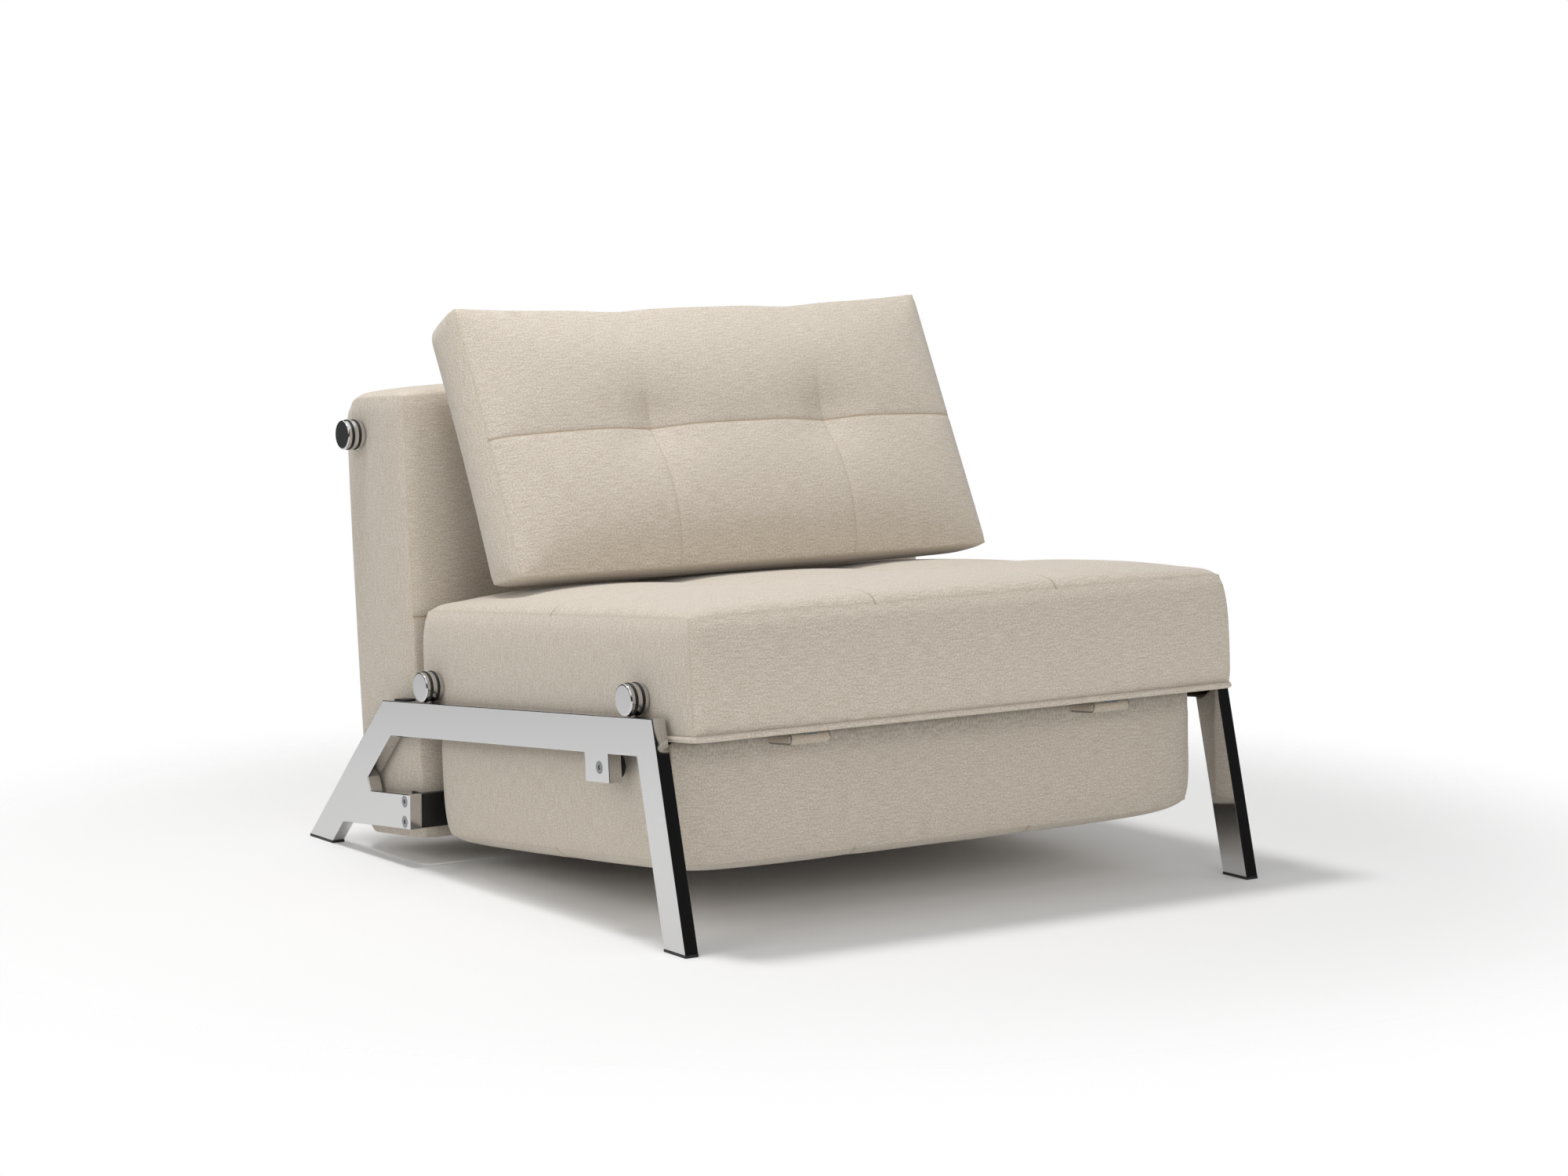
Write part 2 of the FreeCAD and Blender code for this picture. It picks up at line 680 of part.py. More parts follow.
def leg_tube():
    """U-shaped tube: two arms from the pivots and a crossbar that stands on the floor."""
    radius = leg_bend_radius
    end_p = leg_pivot_p + leg_eye_stand_out
    diagonal = radius * (1 - 1 / math.sqrt(2))
    z = leg_pivot_q
    points = [at(-leg_half_span, end_p, z), at(-leg_half_span, leg_bar_p + radius, z),
              at(-leg_half_span + diagonal, leg_bar_p + diagonal, z),
              at(-leg_half_span + radius, leg_bar_p, z)]
    mirrored = [at(-point.x, point.y, point.z) for point in points]
    path = Part.Wire([
        Part.LineSegment(points[0], points[1]).toShape(),
        Part.Arc(points[1], points[2], points[3]).toShape(),
        Part.LineSegment(points[3], mirrored[3]).toShape(),
        Part.Arc(mirrored[3], mirrored[2], mirrored[1]).toShape(),
        Part.LineSegment(mirrored[1], mirrored[0]).toShape(),
    ])
    shells = []
    for rim_radius in (leg_tube_radius, leg_tube_radius - leg_tube_wall):
        rim = Part.Wire(Part.makeCircle(rim_radius, points[0], at(0, 1, 0)))
        shells.append(path.makePipeShell([rim], True, False))
    tube = shells[0].cut(shells[1])
    for side in (-1, 1):
        low, high = [side * leg_half_span + reach for reach in (-2 * leg_tube_radius, 2 * leg_tube_radius)]
        tube = tube.cut(rod_x(leg_pin_radius + running_clearance, low, high, leg_pivot_p, leg_pivot_q))
    return tube


def leg_bushes():
    """Rubber sleeves on the crossbar, which meet the floor."""
    low = leg_bush_x - leg_bush_width / 2
    high = leg_bush_x + leg_bush_width / 2
    sleeve = rod_x(leg_bush_radius, low, high, leg_bar_p, leg_pivot_q)
    return both_sides(sleeve.cut(rod_x(leg_tube_radius, low, high, leg_bar_p, leg_pivot_q)))


def leg_posts():
    """Pivot posts on the side timbers, each with its pin through the tube's end."""
    timber_face = foot_half_width - wall_padding - timber_width
    low_q = leg_pivot_q - leg_post_height / 2
    post = box((timber_face - leg_post_thickness, timber_face),
               (leg_pivot_p - leg_post_height / 2, leg_pivot_p + leg_post_height / 2),
               (low_q, low_q + leg_post_height))
    pin = rod_x(leg_pin_radius, leg_half_span - leg_tube_radius - 2, timber_face, leg_pivot_p, leg_pivot_q)
    return both_sides(post.fuse(pin))


# Back section's hem rod and the loose cushion's flap

rod_p = back_front_p + rod_inset
rod_q = back_bottom_q + rod_inset
rod_flat_p = rod_end_gap + rod_inset
rod_flat_q = seat_thickness - rod_inset
lean = math.radians(cushion_lean)
cushion_base_y = cushion_toe_y + cushion_edge / 2 * math.cos(lean)
cushion_base_z = cushion_toe_z - cushion_edge / 2 * math.sin(lean)


def leaned(shape):
    """Moves a shape from the cushion's own frame to where the cushion leans."""
    moved = shape.copy()
    moved.rotate(at(0, 0, 0), X_AXIS, -cushion_lean)
    moved.translate(at(0, cushion_base_y, cushion_base_z))
    return moved


def flap_seam():
    """Where the flap is sewn to the back section's crowned face, in the mattress frame."""
    share = flap_seam_drop / ((back_top_q - back_bottom_q) / 2)
    crown_here = back_upper_crown * 4 * share * (1 - share)
    return (back_front_p - crown_here - soft_clearance, back_top_q - flap_seam_drop)


def flap_seam_in_cushion_frame():
    """The flap's sewn edge, seen from the cushion's frame."""
    y, z = floor_point(*flap_seam())
    dy, dz = y - cushion_base_y, z - cushion_base_z
    return (dy * math.cos(lean) - dz * math.sin(lean), dy * math.sin(lean) + dz * math.cos(lean))


def make_seat():
    timber_x = section_half_width - wall_padding
    length = (-seat_length + wall_padding, -wall_padding)
    pocket_top = lining_thickness + seat_timber_depth + strap_thickness + soft_clearance
    pocket = box((-timber_x - soft_clearance, timber_x + soft_clearance),
                 (length[0] - soft_clearance, length[1] + soft_clearance), (-1, pocket_top))
    mattress = stud_bores(seat_form().cut(pocket), seat_knob_places, soft_clearance)
    timber_top = lining_thickness + seat_timber_depth
    frame = timber_frame(timber_x, length, (lining_thickness, timber_top), False, True)
    knobs, rings, studs = knob_sets(seat_knob_places)
    export("seat_mattress", tilted(mattress))
    export("seat_timber_frame", tilted(stud_bores(frame, seat_knob_places, 0)))
    export("seat_straps", [tilted(s) for s in straps(timber_x, length, timber_top, False)])
    export("seat_lining", tilted(box((-timber_x, timber_x), length, (0, lining_thickness))))
    export("seat_knobs", [tilted(s) for s in knobs])
    export("seat_knob_rings", [tilted(s) for s in rings])
    export("seat_knob_studs", [tilted(s) for s in studs])
    export("seat_hinge_leaves", [tilted(s) for s in both_sides(seat_hinge_leaf())])


def make_foot():
    timber_x = foot_half_width - wall_padding
    length = (foot_front_p + wall_padding, foot_rear_p - wall_padding)
    timber_low = foot_frame_side_q - foot_timber_depth
    strap_low = timber_low - strap_thickness
    pocket = box((-timber_x - soft_clearance, timber_x + soft_clearance),
                 (length[0] - soft_clearance, length[1] + soft_clearance),
                 (strap_low - soft_clearance, foot_frame_side_q + 1))
    frame = timber_frame(timber_x, length, (timber_low, foot_frame_side_q), False, False)
    export("foot_mattress", tilted(foot_form().cut(pocket)))
    export("foot_timber_frame", tilted(frame))
    export("foot_straps", [tilted(s) for s in straps(timber_x, length, strap_low, False)])
    export("foot_hinge_leaves", [tilted(s) for s in both_sides(foot_hinge_leaf())])
    export("fold_hinge_pins", [tilted(s) for s in both_sides(hinge_pin())])
    export("leg_pivot_posts", [tilted(s) for s in leg_posts()])
    export("leg_tube", tilted(leg_tube()))
    export("leg_bushes", [tilted(s) for s in leg_bushes()])


def make_back():
    timber_x = section_half_width - wall_padding
    height = (back_bottom_q + back_bottom_corner, back_top_q - back_top_corner)
    timber_low = back_rear_p - lining_thickness - seat_timber_depth
    strap_low = timber_low - strap_thickness
    pocket = box((-timber_x - soft_clearance, timber_x + soft_clearance),
                 (strap_low - soft_clearance, back_rear_p + 1),
                 (height[0] - soft_clearance, height[1] + soft_clearance))
    hem = rod_x(rod_radius + rod_clearance, -rod_half_length - 1, rod_half_length + 1, rod_p, rod_q)
    mattress = stud_bores(back_form().cut(pocket).cut(hem), back_knob_places, soft_clearance)
    frame = timber_frame(timber_x, height, (timber_low, timber_low + seat_timber_depth), True, True)
    knobs, rings, studs = knob_sets(back_knob_places)
    lining = slab((-timber_x, timber_x), height, (back_rear_p - lining_thickness, back_rear_p), True)
    export("back_mattress", tilted(mattress))
    export("back_timber_frame", tilted(stud_bores(frame, back_knob_places, 0)))
    export("back_straps", [tilted(s) for s in straps(timber_x, height, strap_low, True)])
    export("back_lining", tilted(lining))
    export("back_knobs", [tilted(s) for s in knobs])
    export("back_knob_rings", [tilted(s) for s in rings])
    export("back_knob_studs", [tilted(s) for s in studs])
    export("back_hem_rod", tilted(rod_x(rod_radius, -rod_half_length, rod_half_length, rod_p, rod_q)))


def make_cushion():
    cushion = leaned(cushion_form())
    edge = flap_seam_in_cushion_frame()
    flap = box((-flap_width / 2, flap_width / 2), (edge[0] - flap_thickness, edge[0]),
               (edge[1] - flap_height, edge[1]))
    export("back_cushion", cushion)
    export("cushion_flap", leaned(flap))


def make_stand():
    frame = side_frame()
    screws = left_frame_screws()
    beam = rear_beam()
    for screw in screws[1:]:
        for solid in both_sides(screw):
            beam = beam.cut(solid)
    export("side_frame_left", frame)
    export("side_frame_right", frame.mirror(at(0, 0, 0), X_AXIS))
    export("foot_pads", foot_pads())
    export("rear_beam", beam)
    export("buffer_screws", both_sides(screws[0]))
    export("bracket_screws", [s for screw in screws[1:] for s in both_sides(screw)])
    export("rail_buffers", buffers())
    export("rail_clips", rail_clips())


os.makedirs("parts", exist_ok=True)
make_stand()
make_seat()
make_foot()
make_back()
make_cushion()
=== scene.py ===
import math

import bmesh
import bpy
import numpy as np
from mathutils import Matrix, Vector


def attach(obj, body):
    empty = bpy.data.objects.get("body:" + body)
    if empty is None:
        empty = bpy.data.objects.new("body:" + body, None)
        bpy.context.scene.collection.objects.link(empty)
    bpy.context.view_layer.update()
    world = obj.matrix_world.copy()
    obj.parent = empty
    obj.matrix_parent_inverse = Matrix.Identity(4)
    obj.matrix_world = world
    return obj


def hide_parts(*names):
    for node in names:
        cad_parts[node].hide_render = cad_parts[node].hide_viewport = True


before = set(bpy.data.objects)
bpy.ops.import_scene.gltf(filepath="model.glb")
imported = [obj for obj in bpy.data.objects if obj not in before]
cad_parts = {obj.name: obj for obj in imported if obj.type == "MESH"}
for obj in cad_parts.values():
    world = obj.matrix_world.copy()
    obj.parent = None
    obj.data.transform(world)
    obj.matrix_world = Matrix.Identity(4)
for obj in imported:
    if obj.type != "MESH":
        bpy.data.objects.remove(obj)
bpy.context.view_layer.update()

# Side frames: each is one length of 50 x 20 mm flat steel, mitred and welded into rail, two legs,
# a hanging block and a bracket arm. The welds are ground flush, then the whole frame is polished
# and chrome plated, so it mirrors the room with only a faint haze.


def linear(hex_code):
    """sRGB hex colour as linear RGBA."""
    channels = [int(hex_code[i:i + 2], 16) / 255 for i in (1, 3, 5)]
    return [c / 12.92 if c <= 0.04045 else ((c + 0.055) / 1.055) ** 2.4 for c in channels] + [1.0]


def add_node(tree, kind, settings=None, links=None):
    """Adds a node, sets its sockets or properties by name or number, and links its inputs."""
    node = tree.nodes.new(kind)
    for key, value in (settings or {}).items():
        if isinstance(key, int) or key in node.inputs:
            node.inputs[key].default_value = value
        else:
            setattr(node, key, value)
    for key, source in (links or {}).items():
        tree.links.new(source, node.inputs[key])
    return node


def new_material(name, colour, roughness, metallic=0.0):
    """A material with its base colour set, ready for its pattern nodes."""
    material = bpy.data.materials.new(name)
    material.use_nodes = True
    shader = material.node_tree.nodes["Principled BSDF"]
    shader.inputs["Base Color"].default_value = linear(colour)
    shader.inputs["Roughness"].default_value = roughness
    shader.inputs["Metallic"].default_value = metallic
    return material, material.node_tree, shader


def finish_node(names, material):
    """Gives CAD nodes their finish."""
    for name in names:
        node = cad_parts[name]
        node.data.materials.clear()
        node.data.materials.append(material)


# Polished chrome plate: a neutral mirror. Buffing leaves a faint haze and waves about 0.1 m long.
chrome, tree, shader = new_material("polished chrome plate", "#d0d0d0", 0.06, 1.0)
place = add_node(tree, "ShaderNodeTexCoord")
buffing = add_node(tree, "ShaderNodeTexNoise", {"Scale": 9.0, "Detail": 2.0},
                   {"Vector": place.outputs["Object"]})
haze = add_node(tree, "ShaderNodeMapRange", {"To Min": 0.045, "To Max": 0.10},
                {0: buffing.outputs["Fac"]})
tree.links.new(haze.outputs["Result"], shader.inputs["Roughness"])
wave = add_node(tree, "ShaderNodeBump", {"Strength": 0.03, "Distance": 0.002},
                {"Height": buffing.outputs["Fac"]})
tree.links.new(wave.outputs["Normal"], shader.inputs["Normal"])
finish_node(["side_frame_left", "side_frame_right"], chrome)

# Feet, buffers and rail clips: small black mouldings that keep steel off the floor and off the
# mattress. The pads are nylon strips screwed up into the cut ends of the legs, the buffers are
# rubber discs, and the clips are nylon channels pressed over the rails' inner edge.

# Moulded nylon: black with a fine spark-eroded grain, about 0.4 mm, that breaks up its gloss.
nylon, tree, shader = new_material("moulded black nylon", "#17181a", 0.45)
place = add_node(tree, "ShaderNodeTexCoord")
grain = add_node(tree, "ShaderNodeTexNoise", {"Scale": 2500.0, "Detail": 1.0},
                 {"Vector": place.outputs["Object"]})
relief = add_node(tree, "ShaderNodeBump", {"Strength": 0.25, "Distance": 0.0002},
                  {"Height": grain.outputs["Fac"]})
tree.links.new(relief.outputs["Normal"], shader.inputs["Normal"])
finish_node(["foot_pads", "rail_clips"], nylon)

# Moulded rubber: black, matt, with a dusty bloom in patches of one or two centimetres.
rubber, tree, shader = new_material("moulded black rubber", "#121213", 0.7)
place = add_node(tree, "ShaderNodeTexCoord")
bloom = add_node(tree, "ShaderNodeTexNoise", {"Scale": 60.0, "Detail": 3.0},
                 {"Vector": place.outputs["Object"]})
matt = add_node(tree, "ShaderNodeMapRange", {"To Min": 0.58, "To Max": 0.8},
                {0: bloom.outputs["Fac"]})
tree.links.new(matt.outputs["Result"], shader.inputs["Roughness"])
finish_node(["rail_buffers", "seat_knob_rings", "back_knob_rings", "leg_bushes"], rubber)

# Rear cross beam: a flat steel bar with an end tab at each side, powder coated black. The folding
# leg of the foot section is bent from one steel tube and has the same coat.

# Powder coat: satin black with the slight orange peel, 2 to 3 mm wide, of a baked coat.
coat, tree, shader = new_material("satin black powder coat", "#141415", 0.38)
place = add_node(tree, "ShaderNodeTexCoord")
peel = add_node(tree, "ShaderNodeTexNoise", {"Scale": 400.0, "Detail": 1.0},
                {"Vector": place.outputs["Object"]})
relief = add_node(tree, "ShaderNodeBump", {"Strength": 0.2, "Distance": 0.0004},
                  {"Height": peel.outputs["Fac"]})
tree.links.new(relief.outputs["Normal"], shader.inputs["Normal"])
finish_node(["rear_beam", "leg_tube"], coat)

# Hidden fittings: the knobs' threaded studs, two stamped fold hinges with their pins, the leg's
# pivot posts and the rod in the hem of the back section. All are of steel, zinc plated.

# Zinc plated steel: grey and slightly cloudy, in patches 4 to 5 mm wide.
zinc, tree, shader = new_material("zinc plated steel", "#9a9c9e", 0.34, 1.0)
place = add_node(tree, "ShaderNodeTexCoord")
cloud = add_node(tree, "ShaderNodeTexNoise", {"Scale": 220.0, "Detail": 3.0},
                 {"Vector": place.outputs["Object"]})
tint = add_node(tree, "ShaderNodeMix", {"data_type": "RGBA", 6: linear("#8d9092"), 7: linear("#b4b6b7")},
                {0: cloud.outputs["Fac"]})
tree.links.new(tint.outputs[2], shader.inputs["Base Color"])
finish_node(["seat_knob_studs", "back_knob_studs", "seat_hinge_leaves", "foot_hinge_leaves",
             "fold_hinge_pins", "leg_pivot_posts", "back_hem_rod"], zinc)

# Screws: two countersunk socket screws through each bracket arm hold the beam, and one through
# each hanging block holds its buffer.

# Screw steel: chromed as well, but turned and not buffed, so a little duller than the frames, with
# tool marks about 1 mm apart.
screw_steel, tree, shader = new_material("chromed screw steel", "#8e9092", 0.22, 1.0)
place = add_node(tree, "ShaderNodeTexCoord")
turned = add_node(tree, "ShaderNodeTexNoise", {"Scale": 900.0, "Detail": 1.0},
                  {"Vector": place.outputs["Object"]})
worn = add_node(tree, "ShaderNodeMapRange", {"To Min": 0.16, "To Max": 0.34},
                {0: turned.outputs["Fac"]})
tree.links.new(worn.outputs["Result"], shader.inputs["Roughness"])
finish_node(["buffer_screws", "bracket_screws"], screw_steel)

# Inside the sections: a spruce frame with elastic straps across it, closed by a lining, carries
# the foam. None of it shows while the chair is made up; the foot section's frame and straps show
# when it is turned over for the bed.

# Sawn spruce: pale, with grain lines about 4 mm apart that run across the chair.
spruce, tree, shader = new_material("sawn spruce", "#c8a878", 0.7)
place = add_node(tree, "ShaderNodeTexCoord")
stretch = add_node(tree, "ShaderNodeMapping", {"Scale": (12.0, 260.0, 260.0)},
                   {"Vector": place.outputs["Object"]})
grain = add_node(tree, "ShaderNodeTexNoise", {"Scale": 1.0, "Detail": 4.0, "Distortion": 0.6},
                 {"Vector": stretch.outputs["Vector"]})
wood = add_node(tree, "ShaderNodeMix", {"data_type": "RGBA", 6: linear("#b8935f"), 7: linear("#d8bd8f")},
                {0: grain.outputs["Fac"]})
tree.links.new(wood.outputs[2], shader.inputs["Base Color"])
finish_node(["seat_timber_frame", "foot_timber_frame", "back_timber_frame"], spruce)

# Elastic webbing: black, with ribs 6 mm apart that run across the chair.
webbing, tree, shader = new_material("elastic webbing", "#232120", 0.8)
place = add_node(tree, "ShaderNodeTexCoord")
ribs = add_node(tree, "ShaderNodeTexWave", {"bands_direction": "Y", "Scale": 52.0},
                {"Vector": place.outputs["Object"]})
weft = add_node(tree, "ShaderNodeMix", {"data_type": "RGBA", 6: linear("#1b1a19"), 7: linear("#3a3633")},
                {0: ribs.outputs["Fac"]})
tree.links.new(weft.outputs[2], shader.inputs["Base Color"])
finish_node(["seat_straps", "foot_straps", "back_straps"], webbing)

# Spunbonded lining: thin black felt with a dimple every 2 mm.
lining, tree, shader = new_material("spunbonded lining", "#1d1d1e", 0.9)
place = add_node(tree, "ShaderNodeTexCoord")
dimples = add_node(tree, "ShaderNodeTexVoronoi", {"Scale": 500.0},
                   {"Vector": place.outputs["Object"]})
relief = add_node(tree, "ShaderNodeBump", {"Strength": 0.3, "Distance": 0.0003},
                  {"Height": dimples.outputs["Distance"]})
tree.links.new(relief.outputs["Normal"], shader.inputs["Normal"])
finish_node(["seat_lining"], lining)

# Seat section: a foam block 0.90 x 0.72 x 0.16 m in a sewn cover. The top panel is quilted to
# the foam by two lengthwise seams and one cross seam, so six low pillows stand between them.
# It is cut as flat panels, sewn with plain seams at every edge and pulled over the foam.

X, Y, Z = 0, 1, 2
RAIL_TILT = math.radians(5.17)
SEAT_CORNER = Vector((0, 0.2167, 0.208))
HALF_WIDTH = 0.450
SEAT_LENGTH = 0.720
SEAT_THICKNESS = 0.161
CHANNEL_X = 0.150
SEAT_CROWN = 0.020
SEAT_QUILTING = 0.0022
TUFT_DEPTH = 0.006
TUFT_REACH = 0.045
EDGE_TURN = 0.006               # width of the cloth that turns over with a sewn edge
SEAM_SIDE = 0.004               # points stand this far beside each quilted seam
EDGE_SHADE = 0.6                # of the shade of a quilted seam
PADDING = 0.0247                # foam outside the timber frame
POCKET_DEPTH = 0.0663
NEAR_MOUTH = 0.003
NEAR_RIM = 0.0002
SWELL_STEPS = 20
FULL_SWELL = 99.7               # percent of the points that swell no further than this
SWELL_CAP = 1.05
EVEN_ROUNDS = 6


def deselect():
    for thing in bpy.context.selected_objects:
        thing.select_set(False)


def make_active(piece):
    deselect()
    piece.select_set(True)
    bpy.context.view_layer.objects.active = piece


def sewn_block(name, low, high, seams, cell):
    """A closed block with a grid on each wall. seams gives the sewn lines across X, Y and Z."""
    deselect()
    bpy.ops.mesh.primitive_cube_add(size=1.0)
    piece = bpy.context.active_object
    piece.name = name
    piece.data.name = name
    piece.scale = [b - a for a, b in zip(low, high)]
    piece.location = [(a + b) / 2 for a, b in zip(low, high)]
    bpy.ops.object.transform_apply(location=True, rotation=True, scale=True)
    bpy.ops.object.mode_set(mode="EDIT")
    bpy.context.tool_settings.mesh_select_mode = (False, True, False)
    for axis in range(3):
        normal = [0, 0, 0]
        normal[axis] = 1
        cuts = [low[axis] + EDGE_TURN, high[axis] - EDGE_TURN]
        for seam in seams[axis]:
            cuts += [seam - SEAM_SIDE, seam, seam + SEAM_SIDE]
        for cut in cuts:
            centre = [0, 0, 0]
            centre[axis] = cut
            bpy.ops.mesh.select_all(action="SELECT")
            bpy.ops.mesh.bisect(plane_co=centre, plane_no=normal)
    for axis in range(3):
        divide_long_edges(piece, axis, cell)
    bpy.ops.object.mode_set(mode="OBJECT")
    return piece


def divide_long_edges(piece, axis, cell):
    """Subdivides each run of edges along an axis into cells of about the given size."""
    lengths = set()
    grid = bmesh.from_edit_mesh(piece.data)
    for edge in grid.edges:
        run = edge.verts[1].co - edge.verts[0].co
        if abs(run[axis]) > 1.5 * cell:
            lengths.add(round(abs(run[axis]), 4))
    for length in sorted(lengths):
        grid = bmesh.from_edit_mesh(piece.data)
        for edge in grid.edges:
            run = edge.verts[1].co - edge.verts[0].co
            along = abs(run[axis])
            edge.select = abs(along - length) < 0.0001 and along > 0.99 * run.length
        grid.select_flush_mode()
        bmesh.update_edit_mesh(piece.data)
        bpy.ops.mesh.subdivide(number_cuts=max(1, round(length / cell) - 1))


def points_of(piece):
    points = np.empty(len(piece.data.vertices) * 3)
    piece.data.vertices.foreach_get("co", points)
    return points.reshape(-1, 3)


def set_points(piece, points):
    piece.data.vertices.foreach_set("co", points.ravel())
    piece.data.update()


def lay_weave(piece):
    """UVs in metres on each wall, warp upwards. On the side walls the cloth is cut turned."""
    piece.data.uv_layers.new(name="weave")
    weave = piece.data.uv_layers["weave"].data
    for wall in piece.data.polygons:
        axis = max(range(3), key=lambda i: abs(wall.normal[i]))
        for corner, index in zip(wall.loop_indices, wall.vertices):
            x, y, z = piece.data.vertices[index].co
            if axis == 0:
                weave[corner].uv = (z, y)
            elif axis == 1:
                weave[corner].uv = (x, z)
            else:
                weave[corner].uv = (x, y)


def mark_seams(piece, strength):
    """Stores how strongly each point is sewn, for the seams' creases and for the painted shade along
    them.
    """
    seam = piece.data.attributes.new("seam", "FLOAT", "POINT")
    seam.data.foreach_set("value", strength.astype(np.float32))


def nearness(values, place, reach=0.0005):
    """1 where a value is at the given place, and 0 elsewhere."""
    return (np.abs(values - place) < reach).astype(float)


def block_edges(points, low, high):
    """1 on the edges where two walls of the block meet."""
    walls = np.zeros(len(points))
    for axis in range(3):
        walls += nearness(points[:, axis], low[axis]) + nearness(points[:, axis], high[axis])
    return (walls >= 2).astype(float)


def draw_in(points, wall, across, low, high, at_low, at_high):
    """How far a pair of walls is drawn in towards its sewn edges, so that its middle stands proud."""
    u = 2 * (points[:, wall] - low[wall]) / (high[wall] - low[wall]) - 1
    v = 2 * (points[:, across] - low[across]) / (high[across] - low[across]) - 1
    inset = np.where(v > 0, at_high, at_low)
    return -np.sign(u) * inset * np.abs(v) ** 2.6 * np.abs(u) ** 5


def pillow(u, v, fullness=0.62):
    """A panel's crown from 0 at its sewn edges to 1 in its middle, steep beside the edges."""
    return ((1 - np.abs(u) ** 4) * (1 - np.abs(v) ** 4)).clip(0) ** fullness


def roll_seams(points, shaped, low, high, depth):
    """Sinks the cloth beside each sewn edge, so that the seam stands up as a small rolled lip."""
    for axis in range(3):
        beside = nearness(points[:, axis], low[axis] + EDGE_TURN)
        beside += nearness(points[:, axis], high[axis] - EDGE_TURN)
        for wall in range(3):
            if wall != axis:
                outer = nearness(points[:, wall], high[wall]) - nearness(points[:, wall], low[wall])
                shaped[:, wall] -= outer * beside * depth


def soften_edges(points, shaped, low, high, depth, reach):
    """Draws each sewn edge in both ways and lets the walls curve over towards it."""
    near = [np.exp(-np.minimum(points[:, axis] - low[axis], high[axis] - points[:, axis]) / reach)
            for axis in range(3)]
    centre = [(a + b) / 2 for a, b in zip(low, high)]
    for axis in range(3):
        other = np.maximum(near[(axis + 1) % 3], near[(axis + 2) % 3])
        inward = np.sign(centre[axis] - points[:, axis])
        shaped[:, axis] += inward * depth * near[axis] * other ** 2


def blow_up(piece, pinned):
    """Cloth under pressure, held where it is sewn. Returns how far each point has moved."""
    start = points_of(piece)
    group = piece.vertex_groups.new(name="sewn")
    for index in np.nonzero(pinned > 0)[0]:
        group.add([int(index)], float(pinned[index]), "REPLACE")
    scene = bpy.context.scene
    scene.frame_set(1)
    cloth = piece.modifiers.new("cover", "CLOTH")
    cloth.settings.quality = 5
    cloth.settings.mass = 0.3
    cloth.settings.tension_stiffness = 12
    cloth.settings.compression_stiffness = 12
    cloth.settings.shear_stiffness = 5
    cloth.settings.bending_stiffness = 0.6
    cloth.settings.use_pressure = True
    cloth.settings.uniform_pressure_force = 4.0
    cloth.settings.effector_weights.gravity = 0.0
    cloth.settings.vertex_group_mass = "sewn"
    cloth.point_cache.frame_start = 1
    cloth.point_cache.frame_end = SWELL_STEPS
    for step in range(1, SWELL_STEPS + 1):
        scene.frame_set(step)
    moved = piece.evaluated_get(bpy.context.evaluated_depsgraph_get())
    points = np.empty(len(moved.data.vertices) * 3)
    moved.data.vertices.foreach_get("co", points)
    piece.modifiers.remove(cloth)
    piece.vertex_groups.remove(group)
    scene.frame_set(1)
    return points.reshape(-1, 3) - start


def even_out(piece, move, pinned):
    """Averages the movement over neighbours, because stuffed cloth shows no sharp creases."""
    pairs = np.array([edge.vertices[:] for edge in piece.data.edges])
    count = np.bincount(pairs.ravel(), minlength=len(move))[:, None]
    for _ in range(EVEN_ROUNDS):
        total = np.zeros_like(move)
        np.add.at(total, pairs[:, 0], move[pairs[:, 1]])
        np.add.at(total, pairs[:, 1], move[pairs[:, 0]])
        move = np.where(pinned[:, None] > 0, move, 0.5 * move + 0.5 * total / count)
    return move


def fill_out(piece, pinned, low_swell, high_swell):
    """Swells the walls between the seams, each way by no more than the real foam does."""
    move = blow_up(piece, pinned)
    move = even_out(piece, move, pinned)
    for axis in range(3):
        along = move[:, axis]
        for sign, swell in ((-1, low_swell[axis]), (1, high_swell[axis])):
            most = max(1e-6, np.percentile(sign * along, FULL_SWELL))
            side = sign * along > 0
            along[side] = sign * np.minimum(sign * along[side] / most, SWELL_CAP) * swell
    set_points(piece, points_of(piece) + move)


def crease_seams(piece, share):
    """Keeps the sewn lines sharp when the mesh is subdivided."""
    seam = np.empty(len(piece.data.vertices))
    piece.data.attributes["seam"].data.foreach_get("value", seam)
    crease = piece.data.attributes.new("crease_edge", "FLOAT", "EDGE")
    for index, edge in enumerate(piece.data.edges):
        a, b = edge.vertices
        crease.data[index].value = share * min(1.0, seam[a], seam[b])


def select_faces(piece, test):
    """Selects the faces whose middle passes a test, in face mode."""
    bpy.context.tool_settings.mesh_select_mode = (False, False, True)
    bpy.ops.mesh.select_all(action="DESELECT")
    grid = bmesh.from_edit_mesh(piece.data)
    for wall in grid.faces:
        if test(wall.calc_center_median()):
            wall.select_set(True)
    bmesh.update_edit_mesh(piece.data)


